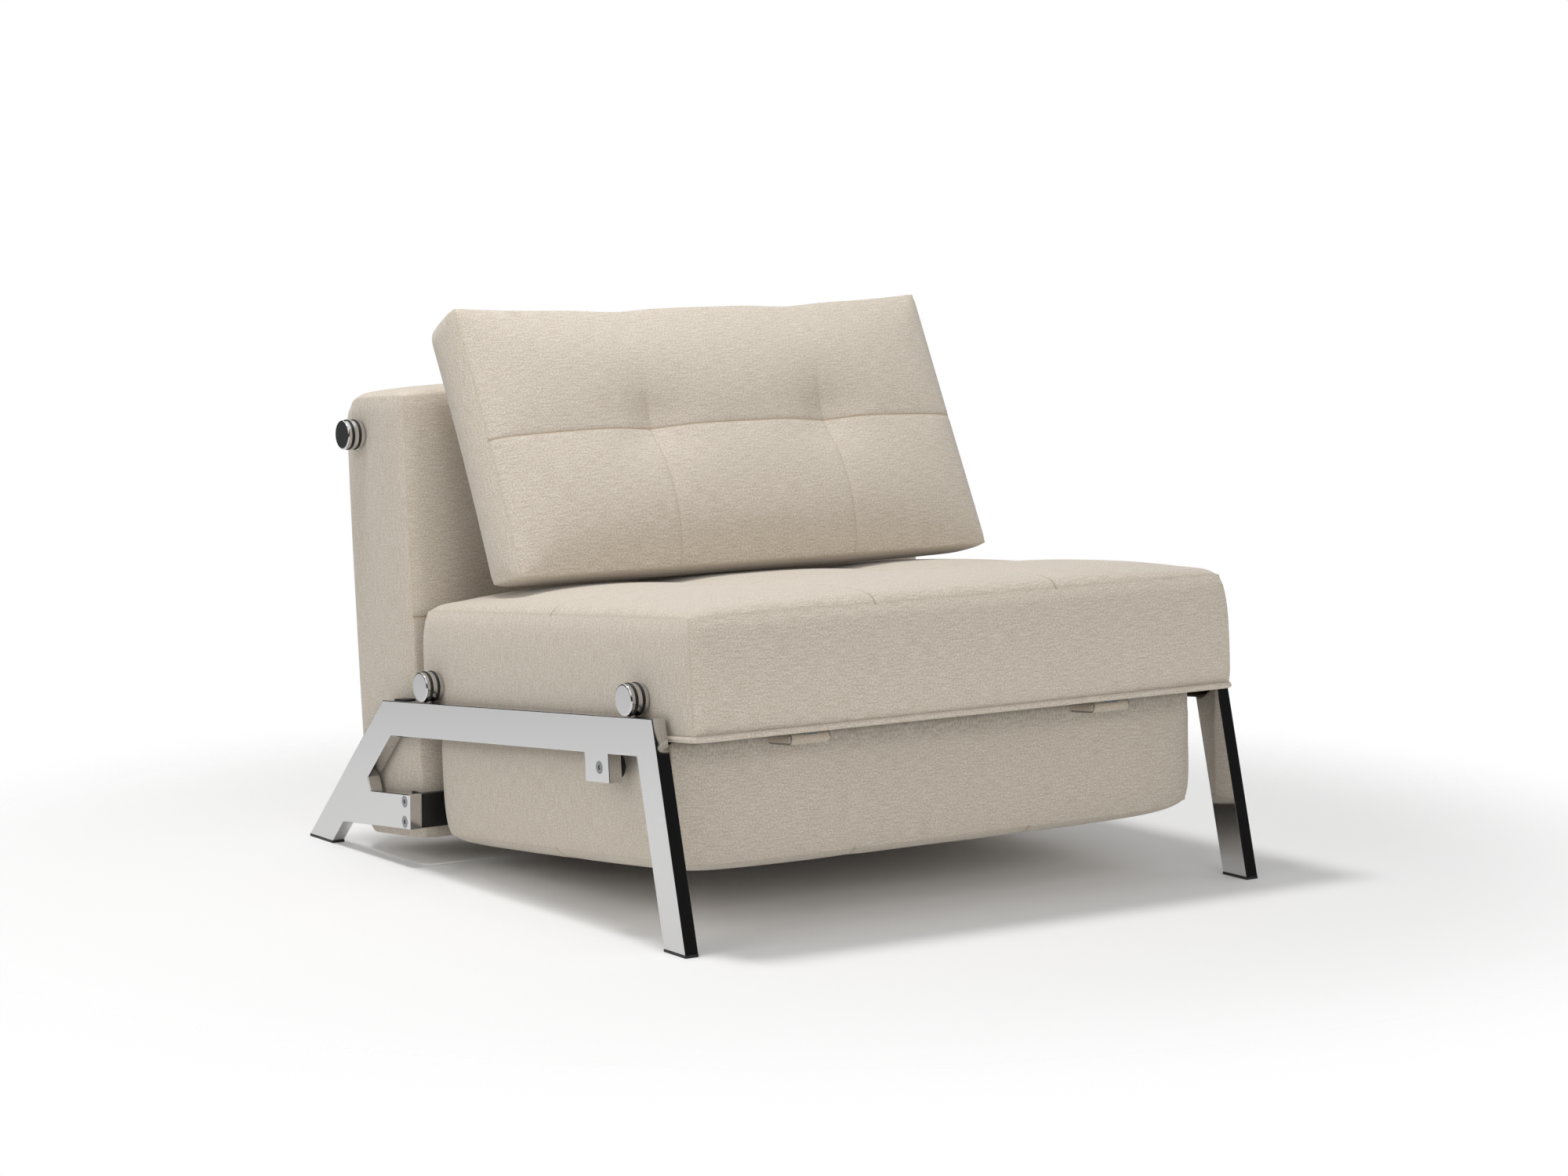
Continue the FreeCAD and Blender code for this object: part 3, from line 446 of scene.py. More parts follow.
def hollow_out(piece, half_width, front, rear, mouth, floor):
    """Sinks the timber frame's pocket, from its mouth to its floor, and keeps its rims sharp."""
    make_active(piece)
    bpy.ops.object.mode_set(mode="EDIT")
    for axis, place in ((X, -half_width), (X, half_width), (Y, front), (Y, rear)):
        select_faces(piece, lambda middle: abs(middle.z - mouth) < NEAR_MOUTH)
        normal = [0, 0, 0]
        normal[axis] = 1
        centre = [0, 0, 0]
        centre[axis] = place
        bpy.ops.mesh.bisect(plane_co=centre, plane_no=normal)
    select_faces(piece, lambda middle: abs(middle.z - mouth) < NEAR_MOUTH
                 and abs(middle.x) < half_width and front < middle.y < rear)
    bpy.ops.mesh.extrude_region_move(TRANSFORM_OT_translate={"value": (0, 0, floor - mouth)})
    grid = bmesh.from_edit_mesh(piece.data)
    crease = grid.edges.layers.float["crease_edge"]
    for edge in grid.edges:
        a, b = [vert.co for vert in edge.verts]
        along_side = abs(abs(a.x) - half_width) < NEAR_RIM and abs(a.x - b.x) < NEAR_RIM
        along_end = min(abs(a.y - front), abs(a.y - rear)) < NEAR_RIM and abs(a.y - b.y) < NEAR_RIM
        at_rim = min(abs(a.z - mouth), abs(a.z - floor)) < NEAR_MOUTH
        if (along_side or along_end) and at_rim:
            edge[crease] = 1.0
    bmesh.update_edit_mesh(piece.data)
    bpy.ops.object.mode_set(mode="OBJECT")


def finish_soft(piece):
    """Smooths the mesh by one subdivision and shades it smooth."""
    make_active(piece)
    smooth = piece.modifiers.new("smooth", "SUBSURF")
    smooth.levels = 1
    smooth.render_levels = 1
    bpy.ops.object.modifier_apply(modifier=smooth.name)
    bpy.ops.object.shade_smooth()


def hang_on_rails(piece):
    """Moves a section from its own level frame to where the tilted rails carry it."""
    piece.data.transform(Matrix.Translation(SEAT_CORNER) @ Matrix.Rotation(-RAIL_TILT, 4, "X"))


# Upholstery cloth: a heather weave of light and darker beige polyester yarn, about 0.7 mm a
# thread. Its diagonal ribs are drawn 1.6 mm apart, which is as fine as shows, and its slubs are
# 23 mm long and 1.6 mm wide along the weft, with specks 2.3 mm wide between them. Loose fibre
# ends give the grazing edges a little sheen.
RIB_SPACING = 0.0016
WAVE_TURN = 20                  # radians that the wave texture turns through in one unit
cloth_finish, tree, shader = new_material("heather weave upholstery", "#c9c0b2", 0.88)
shader.inputs["Sheen Weight"].default_value = 0.25
shader.inputs["Sheen Roughness"].default_value = 0.5
shader.inputs["Specular IOR Level"].default_value = 0.2
weave = add_node(tree, "ShaderNodeUVMap", {"uv_map": "weave"})
weft_run = add_node(tree, "ShaderNodeMapping", {"Scale": (44.0, 640.0, 1.0)},
                    {"Vector": weave.outputs["UV"]})
slubs = add_node(tree, "ShaderNodeTexNoise", {"Scale": 1.0, "Detail": 2.0, "Roughness": 0.6},
                 {"Vector": weft_run.outputs["Vector"]})
warp_run = add_node(tree, "ShaderNodeMapping", {"Scale": (430.0, 430.0, 1.0)},
                    {"Vector": weave.outputs["UV"]})
warp = add_node(tree, "ShaderNodeTexNoise", {"Scale": 1.0, "Detail": 2.0},
                {"Vector": warp_run.outputs["Vector"]})
cloud = add_node(tree, "ShaderNodeTexNoise", {"Scale": 14.0, "Detail": 2.0},
                 {"Vector": weave.outputs["UV"]})
yarns = add_node(tree, "ShaderNodeMath", {"operation": "MULTIPLY_ADD", 1: 0.6},
                 {0: slubs.outputs["Fac"], 2: warp.outputs["Fac"]})
yarn_mean = add_node(tree, "ShaderNodeMath", {"operation": "DIVIDE", 1: 1.6},
                     {0: yarns.outputs["Value"]})
heather = add_node(tree, "ShaderNodeValToRGB", links={"Fac": yarn_mean.outputs["Value"]})
heather.color_ramp.elements[0].position = 0.39
heather.color_ramp.elements[0].color = linear("#b8ab9a")
heather.color_ramp.elements[1].position = 0.61
heather.color_ramp.elements[1].color = linear("#d6cec2")
patchy = add_node(tree, "ShaderNodeMapRange", {"To Min": 0.985, "To Max": 1.015},
                  {0: cloud.outputs["Fac"]})
toned = add_node(tree, "ShaderNodeVectorMath", {"operation": "SCALE"},
                 {0: heather.outputs["Color"], "Scale": patchy.outputs["Result"]})
# Along each seam the cloth is mixed towards a darker beige: painted shade in the sewn crease, full on
# quilted seams and weaker on the edges.
sewn_line = add_node(tree, "ShaderNodeAttribute", {"attribute_name": "seam"})
seam_shade = add_node(tree, "ShaderNodeMath", {"operation": "POWER", 1: 3.0},
                  {0: sewn_line.outputs["Fac"]})
seam_shade_tone = add_node(tree, "ShaderNodeMix", {"data_type": "RGBA", 7: linear("#a08e76")},
                       {0: seam_shade.outputs["Value"], 6: toned.outputs["Vector"]})
tree.links.new(seam_shade_tone.outputs[2], shader.inputs["Base Color"])
thread_run = add_node(tree, "ShaderNodeMapping", {"Rotation": (0, 0, math.radians(45))},
                      {"Vector": weave.outputs["UV"]})
twill = add_node(tree, "ShaderNodeTexWave",
                 {"Scale": 2 * math.pi / RIB_SPACING / WAVE_TURN, "Distortion": 0.6, "Detail": 1.0},
                 {"Vector": thread_run.outputs["Vector"]})
cloth_height = add_node(tree, "ShaderNodeMath", {"operation": "MULTIPLY_ADD", 1: 0.5},
                        {0: twill.outputs["Fac"], 2: yarns.outputs["Value"]})
threads = add_node(tree, "ShaderNodeBump", {"Strength": 0.08, "Distance": 0.0006},
                   {"Height": cloth_height.outputs["Value"]})
tree.links.new(threads.outputs["Normal"], shader.inputs["Normal"])

seat_low = (-HALF_WIDTH, -SEAT_LENGTH, 0.0)
seat_high = (HALF_WIDTH, 0.0, SEAT_THICKNESS)
cross_seam = -SEAT_LENGTH / 2
seat = sewn_block("seat_cover", seat_low, seat_high,
                  ([-CHANNEL_X, CHANNEL_X], [cross_seam], []), cell=0.0095)
lay_weave(seat)
points = points_of(seat)
quilted = nearness(points[:, Z], SEAT_THICKNESS) * np.maximum(
    nearness(np.abs(points[:, X]), CHANNEL_X), nearness(points[:, Y], cross_seam))
edges = block_edges(points, seat_low, seat_high)
mark_seams(seat, np.maximum(quilted, EDGE_SHADE * edges))
dome = SEAT_CROWN * pillow(points[:, X] / HALF_WIDTH,
                           (points[:, Y] - cross_seam) / (SEAT_LENGTH / 2), fullness=0.42)
tufts = sum(np.exp(-(np.hypot(points[:, X] - x, points[:, Y] - cross_seam) / TUFT_REACH) ** 2)
            for x in (-CHANNEL_X, CHANNEL_X))
height_share = np.clip(points[:, Z] / SEAT_THICKNESS, 0, 1)
shaped = points.copy()
shaped[:, Z] += height_share ** 6 * (dome - TUFT_DEPTH * tufts) - SEAT_QUILTING * quilted
shaped[:, X] += draw_in(points, X, Z, seat_low, seat_high, at_low=0.001, at_high=0.006)
shaped[:, X] += draw_in(points, X, Y, seat_low, seat_high, at_low=0.001, at_high=0.0)
soften_edges(points, shaped, seat_low, seat_high, depth=0.0035, reach=0.014)
shaped[:, Y] += draw_in(points, Y, Z, seat_low, seat_high, at_low=0.002, at_high=0.009)
shaped[:, Y] += draw_in(points, Y, X, seat_low, seat_high, at_low=0.004, at_high=0.004)
roll_seams(points, shaped, seat_low, seat_high, depth=0.0012)
set_points(seat, shaped)
fill_out(seat, np.maximum(quilted, edges), low_swell=(0.0, 0.0035, 0.0), high_swell=(0.0, 0.0, 0.006))
crease_seams(seat, share=0.7)
hollow_out(seat, half_width=HALF_WIDTH - PADDING, front=PADDING - SEAT_LENGTH, rear=-PADDING,
           mouth=0.0, floor=POCKET_DEPTH)
finish_soft(seat)
hang_on_rails(seat)
seat.data.materials.append(cloth_finish)
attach(seat, "stand")
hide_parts("seat_mattress")

# Seat hem: the lower edge of the cover is turned in and rolled round a cord, which shows as a
# pale lip all round the bottom of the seat section.

HEM_RADIUS = 0.0042
HEM_CORNER = 0.018
HEM_HEIGHT = 0.0022
HEM_OVERHANG = 0.003            # past the seat's length, front and rear together
deselect()
bpy.ops.mesh.primitive_plane_add(size=1.0)
hem = bpy.context.active_object
hem.name = "seat_hem"
hem.data.name = "seat_hem"
hem.scale = (2 * (HALF_WIDTH - HEM_RADIUS), SEAT_LENGTH - 2 * HEM_RADIUS + HEM_OVERHANG, 1.0)
hem.location = (0, -SEAT_LENGTH / 2, HEM_HEIGHT)
bpy.ops.object.transform_apply(location=True, rotation=True, scale=True)
bpy.ops.object.mode_set(mode="EDIT")
bpy.ops.mesh.select_all(action="SELECT")
bpy.ops.mesh.bevel(offset=HEM_CORNER, segments=6, affect="VERTICES")
bpy.ops.mesh.delete(type="ONLY_FACE")
bpy.ops.object.mode_set(mode="OBJECT")
bpy.ops.object.convert(target="CURVE")
hem.data.bevel_depth = HEM_RADIUS
hem.data.bevel_resolution = 4
bpy.ops.object.convert(target="MESH")
make_active(hem)
bpy.ops.object.mode_set(mode="EDIT")
bpy.ops.mesh.select_all(action="SELECT")
bpy.ops.mesh.remove_doubles(threshold=0.0001)
bpy.ops.mesh.normals_make_consistent(inside=False)
bpy.ops.object.mode_set(mode="OBJECT")
bpy.ops.object.shade_smooth()
lay_weave(hem)
mark_seams(hem, np.zeros(len(hem.data.vertices)))
hang_on_rails(hem)
hem.data.materials.append(cloth_finish)
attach(hem, "stand")

# Knobs: turned steel rollers 42 mm across, chromed, each with two rubber rings let into its rim.
# The seat section hangs by four of them on the rails, and the back section has two more that
# land on the rails when it is laid flat.
finish_node(["seat_knobs", "back_knobs"], chrome)

# Foot section: a second foam block, stored face down under the seat. Its quilted face looks at
# the floor, so only its crowned edge shows, and the lower rear corner of its cover is rounded.
# Along the fold the cover stands up to the seat, so that the gap at the hinges is closed.

FOOT_HALF_WIDTH = 0.437
FOOT_FRONT = -0.635
FOOT_REAR = -0.012
FOOT_FACE = -0.176
FOOT_OPEN_SIDE = -0.020
FOOT_POCKET = -0.0663
FOOT_CHANNEL_X = 0.146
FOOT_CROWN = 0.013
QUILTING = 0.0015
EDGE_STAND = 0.0185             # of the cover along the fold
EDGE_FLARE = 0.007              # of that edge towards the front
END_LIFT = 0.010                # of the quilted face at both ends
foot_low = (-FOOT_HALF_WIDTH, FOOT_FRONT, FOOT_FACE)
foot_high = (FOOT_HALF_WIDTH, FOOT_REAR, FOOT_OPEN_SIDE)


def round_corner(points, across, up, corner, inward, radius):
    """Pulls the points beyond a corner's centre onto its arc, in the plane of two axes."""
    centre = (corner[0] + inward[0] * radius, corner[1] + inward[1] * radius)
    da = points[:, across] - centre[0]
    du = points[:, up] - centre[1]
    beyond = (da * inward[0] < 0) & (du * inward[1] < 0)
    away = np.hypot(da, du)
    square = np.maximum(np.abs(da), np.abs(du))
    scale = np.where(beyond, square / np.maximum(away, 1e-9), 1.0)
    points[:, across] = centre[0] + da * scale
    points[:, up] = centre[1] + du * scale


foot_cross = (FOOT_FRONT + FOOT_REAR) / 2
foot = sewn_block("foot_cover", foot_low, foot_high,
                  ([-FOOT_CHANNEL_X, FOOT_CHANNEL_X], [foot_cross], []), cell=0.0105)
lay_weave(foot)
points = points_of(foot)
quilted = nearness(points[:, Z], FOOT_FACE) * np.maximum(
    nearness(np.abs(points[:, X]), FOOT_CHANNEL_X), nearness(points[:, Y], foot_cross))
edges = block_edges(points, foot_low, foot_high)
mark_seams(foot, np.maximum(quilted, EDGE_SHADE * edges))
dome = FOOT_CROWN * pillow(points[:, X] / FOOT_HALF_WIDTH,
                           (points[:, Y] - foot_cross) / (foot_cross - FOOT_FRONT))
depth_share = np.clip((FOOT_OPEN_SIDE - points[:, Z]) / (FOOT_OPEN_SIDE - FOOT_FACE), 0, 1)
height_share = np.clip((points[:, Z] - FOOT_FACE) / (FOOT_OPEN_SIDE - FOOT_FACE), 0, 1)
shaped = points.copy()
shaped[:, Z] -= depth_share ** 6 * dome - QUILTING * quilted
shaped[:, X] += draw_in(points, X, Z, foot_low, foot_high, at_low=0.004, at_high=0.001)
shaped[:, X] += draw_in(points, X, Y, foot_low, foot_high, at_low=0.001, at_high=0.001)
shaped[:, Y] += draw_in(points, Y, Z, foot_low, foot_high, at_low=0.006, at_high=0.0)
shaped[:, Y] += draw_in(points, Y, X, foot_low, foot_high, at_low=0.005, at_high=0.005)
shaped[:, Y] -= nearness(points[:, Y], FOOT_FRONT, reach=0.02) * EDGE_FLARE * height_share ** 3
shaped[:, Z] += depth_share * END_LIFT * np.abs(points[:, X] / FOOT_HALF_WIDTH) ** 14
soften_edges(points, shaped, foot_low, foot_high, depth=0.0035, reach=0.014)
roll_seams(points, shaped, foot_low, foot_high, depth=0.0012)
front_rim = np.clip((FOOT_FRONT + PADDING - points[:, Y]) / (PADDING - EDGE_TURN), 0, 1)
shaped[:, Z] += EDGE_STAND * front_rim ** 0.7 * nearness(points[:, Z], FOOT_OPEN_SIDE)
round_corner(shaped, Y, Z, corner=(FOOT_REAR, FOOT_FACE), inward=(-1, 1), radius=0.020)
set_points(foot, shaped)
fill_out(foot, np.maximum(quilted, edges), low_swell=(0.001, 0.0030, 0.004),
         high_swell=(0.001, 0.0030, 0.0))
crease_seams(foot, share=0.7)
hollow_out(foot, half_width=FOOT_HALF_WIDTH - PADDING, front=FOOT_FRONT + PADDING,
           rear=FOOT_REAR - PADDING, mouth=FOOT_OPEN_SIDE, floor=FOOT_POCKET)
finish_soft(foot)
hang_on_rails(foot)
foot.data.materials.append(cloth_finish)
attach(foot, "foot")
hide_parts("foot_mattress")

# Hinge sleeves: a short tube of the cover cloth is sewn round each fold hinge, so that no metal
# shows under the seat's front. Their cloth is drawn a little darker, as painted shade under the seat.

FOLD_LINE = (-0.682, -0.012)    # the hinge pins, along and up from the seat's rear corner
HINGE_X = 0.250
SLEEVE_HALF_WIDTH = 0.0328
SLEEVE_REACH = 0.0079
SLEEVE_REAR = -0.630
SLEEVE_ROUNDING = 0.0068
SLEEVE_PAINTED_SHADE = 0.66
deselect()
bpy.ops.mesh.primitive_cube_add(size=1.0)
sleeves = bpy.context.active_object
sleeves.name = "hinge_sleeves"
sleeves.data.name = "hinge_sleeves"
sleeve_front = FOLD_LINE[0] - SLEEVE_REACH
sleeves.scale = (2 * SLEEVE_HALF_WIDTH, SLEEVE_REAR - sleeve_front, 2 * SLEEVE_REACH)
sleeves.location = (HINGE_X, (SLEEVE_REAR + sleeve_front) / 2, FOLD_LINE[1])
bpy.ops.object.transform_apply(location=True, rotation=True, scale=True)
turned = sleeves.modifiers.new("turned edges", "BEVEL")
turned.width = SLEEVE_ROUNDING
turned.segments = 5
bpy.ops.object.modifier_apply(modifier="turned edges")
sleeves.modifiers.new("pair", "MIRROR")
bpy.ops.object.modifier_apply(modifier="pair")
lay_weave(sleeves)
# Painted shade: the whole sleeve takes the seams' darker tone at this strength.
mark_seams(sleeves, np.full(len(sleeves.data.vertices), SLEEVE_PAINTED_SHADE))
bpy.ops.object.shade_smooth_by_angle(angle=math.radians(50))
hang_on_rails(sleeves)
sleeves.data.materials.append(cloth_finish)
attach(sleeves, "foot")

# Back section: the same foam block stood on end behind the seat. Its cover is rounded over the
# top rear edge and under the bottom, and a plain panel closes its back.

BACK_FRONT = 0.020
BACK_REAR = 0.195
BACK_BOTTOM = -0.171
BACK_TOP = 0.467
UPPER_CROWN = 0.008
LOWER_CROWN = 0.002
TOP_CROWN = 0.013
back_low = (-HALF_WIDTH, BACK_FRONT, BACK_BOTTOM)
back_high = (HALF_WIDTH, BACK_REAR, BACK_TOP)
back_cross = (BACK_BOTTOM + BACK_TOP) / 2
back = sewn_block("back_cover", back_low, back_high,
                  ([-CHANNEL_X, CHANNEL_X], [], [back_cross]), cell=0.0105)
lay_weave(back)
points = points_of(back)
quilted = nearness(points[:, Y], BACK_FRONT) * np.maximum(
    nearness(np.abs(points[:, X]), CHANNEL_X), nearness(points[:, Z], back_cross))
edges = block_edges(points, back_low, back_high)
front_edges = edges * nearness(points[:, Y], BACK_FRONT)
side_edges = edges * nearness(np.abs(points[:, X]), HALF_WIDTH)
mark_seams(back, np.maximum(quilted, EDGE_SHADE * np.maximum(front_edges, side_edges)))
height_share = np.clip((points[:, Z] - back_cross) / (BACK_TOP - back_cross), -1, 1)
crown = np.where(height_share > 0, UPPER_CROWN, LOWER_CROWN)
dome = pillow(points[:, X] / HALF_WIDTH, height_share) * crown
front_share = np.clip((BACK_REAR - points[:, Y]) / (BACK_REAR - BACK_FRONT), 0, 1)
across_top = 2 * (points[:, Y] - BACK_FRONT) / (BACK_REAR - BACK_FRONT) - 1
top_swell = TOP_CROWN * pillow(points[:, X] / HALF_WIDTH, across_top, fullness=0.5)
shaped = points.copy()
shaped[:, Y] -= front_share ** 6 * dome - QUILTING * quilted
shaped[:, Z] += np.clip(height_share, 0, 1) ** 12 * top_swell
shaped[:, X] += draw_in(points, X, Y, back_low, back_high, at_low=0.005, at_high=0.0015)
shaped[:, X] += draw_in(points, X, Z, back_low, back_high, at_low=0.002, at_high=0.003)
soften_edges(points, shaped, back_low, back_high, depth=0.003, reach=0.014)
roll_seams(points, shaped, back_low, back_high, depth=0.0012)
round_corner(shaped, Y, Z, corner=(BACK_REAR, BACK_TOP), inward=(-1, -1), radius=0.040)
round_corner(shaped, Y, Z, corner=(BACK_REAR, BACK_BOTTOM), inward=(-1, 1), radius=0.028)
round_corner(shaped, Y, Z, corner=(BACK_FRONT, BACK_BOTTOM), inward=(1, 1), radius=0.008)
set_points(back, shaped)
fill_out(back, np.maximum(quilted, edges), low_swell=(0.0, 0.0040, 0.001),
         high_swell=(0.0, 0.0015, 0.002))
crease_seams(back, share=0.6)
finish_soft(back)
hang_on_rails(back)
back.data.materials.append(cloth_finish)
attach(back, "back")
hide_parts("back_mattress", "back_lining")

# Loose back cushion: a box cushion 0.80 x 0.41 m filled with fibre, much plumper than the
# sections. A seam runs across it at half height and two run up from its bottom edge, and it is
# drawn in by a tuft where they cross. It stands on the seat and leans on the back section.

CUSHION_HALF_WIDTH = 0.403
CUSHION_EDGE = 0.092
CUSHION_HEIGHT = 0.410
CUSHION_LEAN = math.radians(26.5)
CUSHION_TOE = Vector((0, 0.0127, 0.428))
CUSHION_SEAM = 0.209
CUSHION_CHANNELS = (-0.141, 0.156)
CHANNEL_SHADE = 0.72
CHANNEL_OVERRUN = 0.085         # the upright seams have faded out this far above the cross seam
CHANNEL_FADE = 0.08
HEEL_LIFT = 0.020
TOP_REAR_DROP = 0.010
FRONT_CROWN = 0.031
REAR_CROWN = 0.036
TUFT_HOLLOW = 0.012
TUFT_HALF_WIDTH = 0.045
TUFT_HALF_HEIGHT = 0.038
FOLD_DEPTH = 0.0035             # of a short fold in the cloth above each tuft
FOLD_HALF_WIDTH = 0.012
FOLD_REACH = 0.03
VALLEY_DEPTH = 0.005
VALLEY_HALF_HEIGHT = 0.045
CUSHION_QUILTING = 0.0018
BOTTOM_SAG = 0.003
TOP_SAG = 0.010
TOP_RISE = 0.006
TOP_DIP = 0.004                 # of the top above each upright seam
DIP_HALF_WIDTH = 0.05
BOTTOM_SPREAD = 0.014           # of the width
TOP_LEFT_SPREAD = 0.008
BELLY = 0.009                   # of the lower front
BELLY_HEIGHT = 0.20             # of the cushion's height, and so is its reach
BELLY_REACH = 0.16
half_edge = CUSHION_EDGE / 2
cushion_low = (-CUSHION_HALF_WIDTH, -half_edge, 0.0)
cushion_high = (CUSHION_HALF_WIDTH, half_edge, CUSHION_HEIGHT)
cushion = sewn_block("back_cushion_cover", cushion_low, cushion_high,
                     (list(CUSHION_CHANNELS), [], [CUSHION_SEAM]), cell=0.0085)
lay_weave(cushion)
points = points_of(cushion)
faces = nearness(np.abs(points[:, Y]), half_edge)
channels = np.maximum.reduce([nearness(points[:, X], x) for x in CUSHION_CHANNELS])
fade = np.clip((CUSHION_SEAM + CHANNEL_OVERRUN - points[:, Z]) / CHANNEL_FADE, 0, 1)
quilted = faces * np.maximum(nearness(points[:, Z], CUSHION_SEAM), CHANNEL_SHADE * channels * fade)
edges = block_edges(points, cushion_low, cushion_high)
mark_seams(cushion, np.maximum(quilted, EDGE_SHADE * edges))
side_share = 1 - np.abs(points[:, X] / CUSHION_HALF_WIDTH) ** 4
height_share = points[:, Z] / CUSHION_HEIGHT
left_share = (-points[:, X] / CUSHION_HALF_WIDTH).clip(0)
rear_share = (points[:, Y] + half_edge) / CUSHION_EDGE
dome = (1 - np.abs(points[:, X] / CUSHION_HALF_WIDTH) ** 3).clip(0) ** 0.7
dome *= (1 - np.abs(2 * height_share - 1) ** 2.4).clip(0) ** 0.75
tufts = sum(np.exp(-np.hypot((points[:, X] - x) / TUFT_HALF_WIDTH,
                             (points[:, Z] - CUSHION_SEAM) / TUFT_HALF_HEIGHT) ** 2)
            for x in CUSHION_CHANNELS)
folds = sum(np.exp(-((points[:, X] - x) / FOLD_HALF_WIDTH) ** 2) for x in CUSHION_CHANNELS)
folds *= np.exp(-np.abs(points[:, Z] - CUSHION_SEAM - FOLD_REACH) / FOLD_REACH)
valley = np.exp(-((points[:, Z] - CUSHION_SEAM) / VALLEY_HALF_HEIGHT) ** 2)
belly = np.exp(-((height_share - BELLY_HEIGHT) / BELLY_REACH) ** 2)
dips = sum(np.exp(-((points[:, X] - x) / DIP_HALF_WIDTH) ** 2) for x in CUSHION_CHANNELS)
swell = np.where(points[:, Y] < 0, FRONT_CROWN, REAR_CROWN) * dome
swell = swell - TUFT_HOLLOW * tufts - FOLD_DEPTH * folds - VALLEY_DEPTH * valley * side_share
shaped = points.copy()
shaped[:, Y] += np.sign(points[:, Y]) * (np.abs(points[:, Y]) / half_edge) ** 3 * swell
shaped[:, Y] -= np.sign(points[:, Y]) * CUSHION_QUILTING * quilted
shaped[:, Z] += rear_share * (HEEL_LIFT * (1 - height_share) - TOP_REAR_DROP * height_share)
shaped[:, Z] -= BOTTOM_SAG * side_share * (1 - height_share) ** 6
shaped[:, Z] -= TOP_SAG * side_share * height_share ** 4
shaped[:, X] += draw_in(points, X, Z, cushion_low, cushion_high, at_low=0.001, at_high=0.001)
shaped[:, X] += draw_in(points, X, Y, cushion_low, cushion_high, at_low=0.004, at_high=0.006)
shaped[:, X] *= 1 + BOTTOM_SPREAD * (1 - height_share) ** 2
shaped[:, X] -= TOP_LEFT_SPREAD * left_share ** 4 * height_share ** 2
shaped[:, Y] -= (points[:, Y] < 0) * BELLY * side_share * belly * faces
shaped[:, Z] += (TOP_RISE - TOP_DIP * dips) * height_share ** 4
soften_edges(points, shaped, cushion_low, cushion_high, depth=0.0042, reach=0.016)
roll_seams(points, shaped, cushion_low, cushion_high, depth=0.001)
set_points(cushion, shaped)
fill_out(cushion, np.maximum(quilted, edges), low_swell=(0.003, 0.005, 0.003),
         high_swell=(0.003, 0.005, 0.003))
crease_seams(cushion, share=0.3)
finish_soft(cushion)
cushion_foot = CUSHION_TOE + Vector((0, half_edge * math.cos(CUSHION_LEAN),
                                     -half_edge * math.sin(CUSHION_LEAN)))
cushion.data.transform(Matrix.Translation(cushion_foot) @ Matrix.Rotation(-CUSHION_LEAN, 4, "X"))
cushion.data.materials.append(cloth_finish)
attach(cushion, "cushion")
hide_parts("back_cushion")

# Cushion flap: a strip of loop tape, 180 x 38 mm, sewn to the back section just under its top
# front edge. The loose cushion clings to it, and hides it.

TAPE_LENGTH = 0.180
TAPE_WIDTH = 0.038
TAPE_THICKNESS = 0.0025
TAPE_RIPPLE = 0.0004            # sewn tape never lies quite flat
tape_corners = [Vector(corner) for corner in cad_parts["cushion_flap"].bound_box]
tape_middle = sum(tape_corners, Vector()) / len(tape_corners)
deselect()
bpy.ops.mesh.primitive_plane_add(size=1.0)
tape = bpy.context.active_object
tape.name = "loop_tape_strip"
tape.data.name = "loop_tape_strip"
tape.scale = (TAPE_LENGTH, TAPE_WIDTH, 1.0)
bpy.ops.object.transform_apply(location=False, rotation=False, scale=True)
bpy.ops.object.mode_set(mode="EDIT")
bpy.ops.mesh.subdivide(number_cuts=20)
bpy.ops.object.mode_set(mode="OBJECT")
points = points_of(tape)
points[:, Z] = TAPE_RIPPLE * np.sin(points[:, X] * 60) * np.cos(points[:, Y] * 80)
set_points(tape, points)
thick = tape.modifiers.new("pile", "SOLIDIFY")
thick.thickness = TAPE_THICKNESS
thick.offset = 0.0
bpy.ops.object.modifier_apply(modifier="pile")
bpy.ops.object.shade_smooth_by_angle(angle=math.radians(40))
tape_turn = Matrix.Rotation(math.radians(90) - CUSHION_LEAN, 4, "X")
tape.data.transform(Matrix.Translation(tape_middle) @ tape_turn)

# Loop tape: a nap of fine loops about 1 mm apart, which takes no gloss.
loop_tape, tree, shader = new_material("beige loop tape", "#b9ae9c", 0.95)
place = add_node(tree, "ShaderNodeTexCoord")
loops = add_node(tree, "ShaderNodeTexNoise", {"Scale": 900.0, "Detail": 2.0},
                 {"Vector": place.outputs["Object"]})
pile = add_node(tree, "ShaderNodeBump", {"Strength": 0.6, "Distance": 0.0008},
                {"Height": loops.outputs["Fac"]})
tree.links.new(pile.outputs["Normal"], shader.inputs["Normal"])
tape.data.materials.append(loop_tape)
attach(tape, "cushion_flap")
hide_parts("cushion_flap")

# Studio: a white floor that fades out before it ends, soft light from above, from the left and
# from the front, and a dark room with a bright ceiling that the chrome mirrors.

FLOOR_RADIUS = 3.4
FADE_START = 0.85
FADE_END = 1.5
deselect()
bpy.ops.mesh.primitive_circle_add(vertices=96, radius=FLOOR_RADIUS, fill_type="NGON",
                                  location=(0, 0, 0))
floor = bpy.context.active_object
floor.name = "studio_floor"

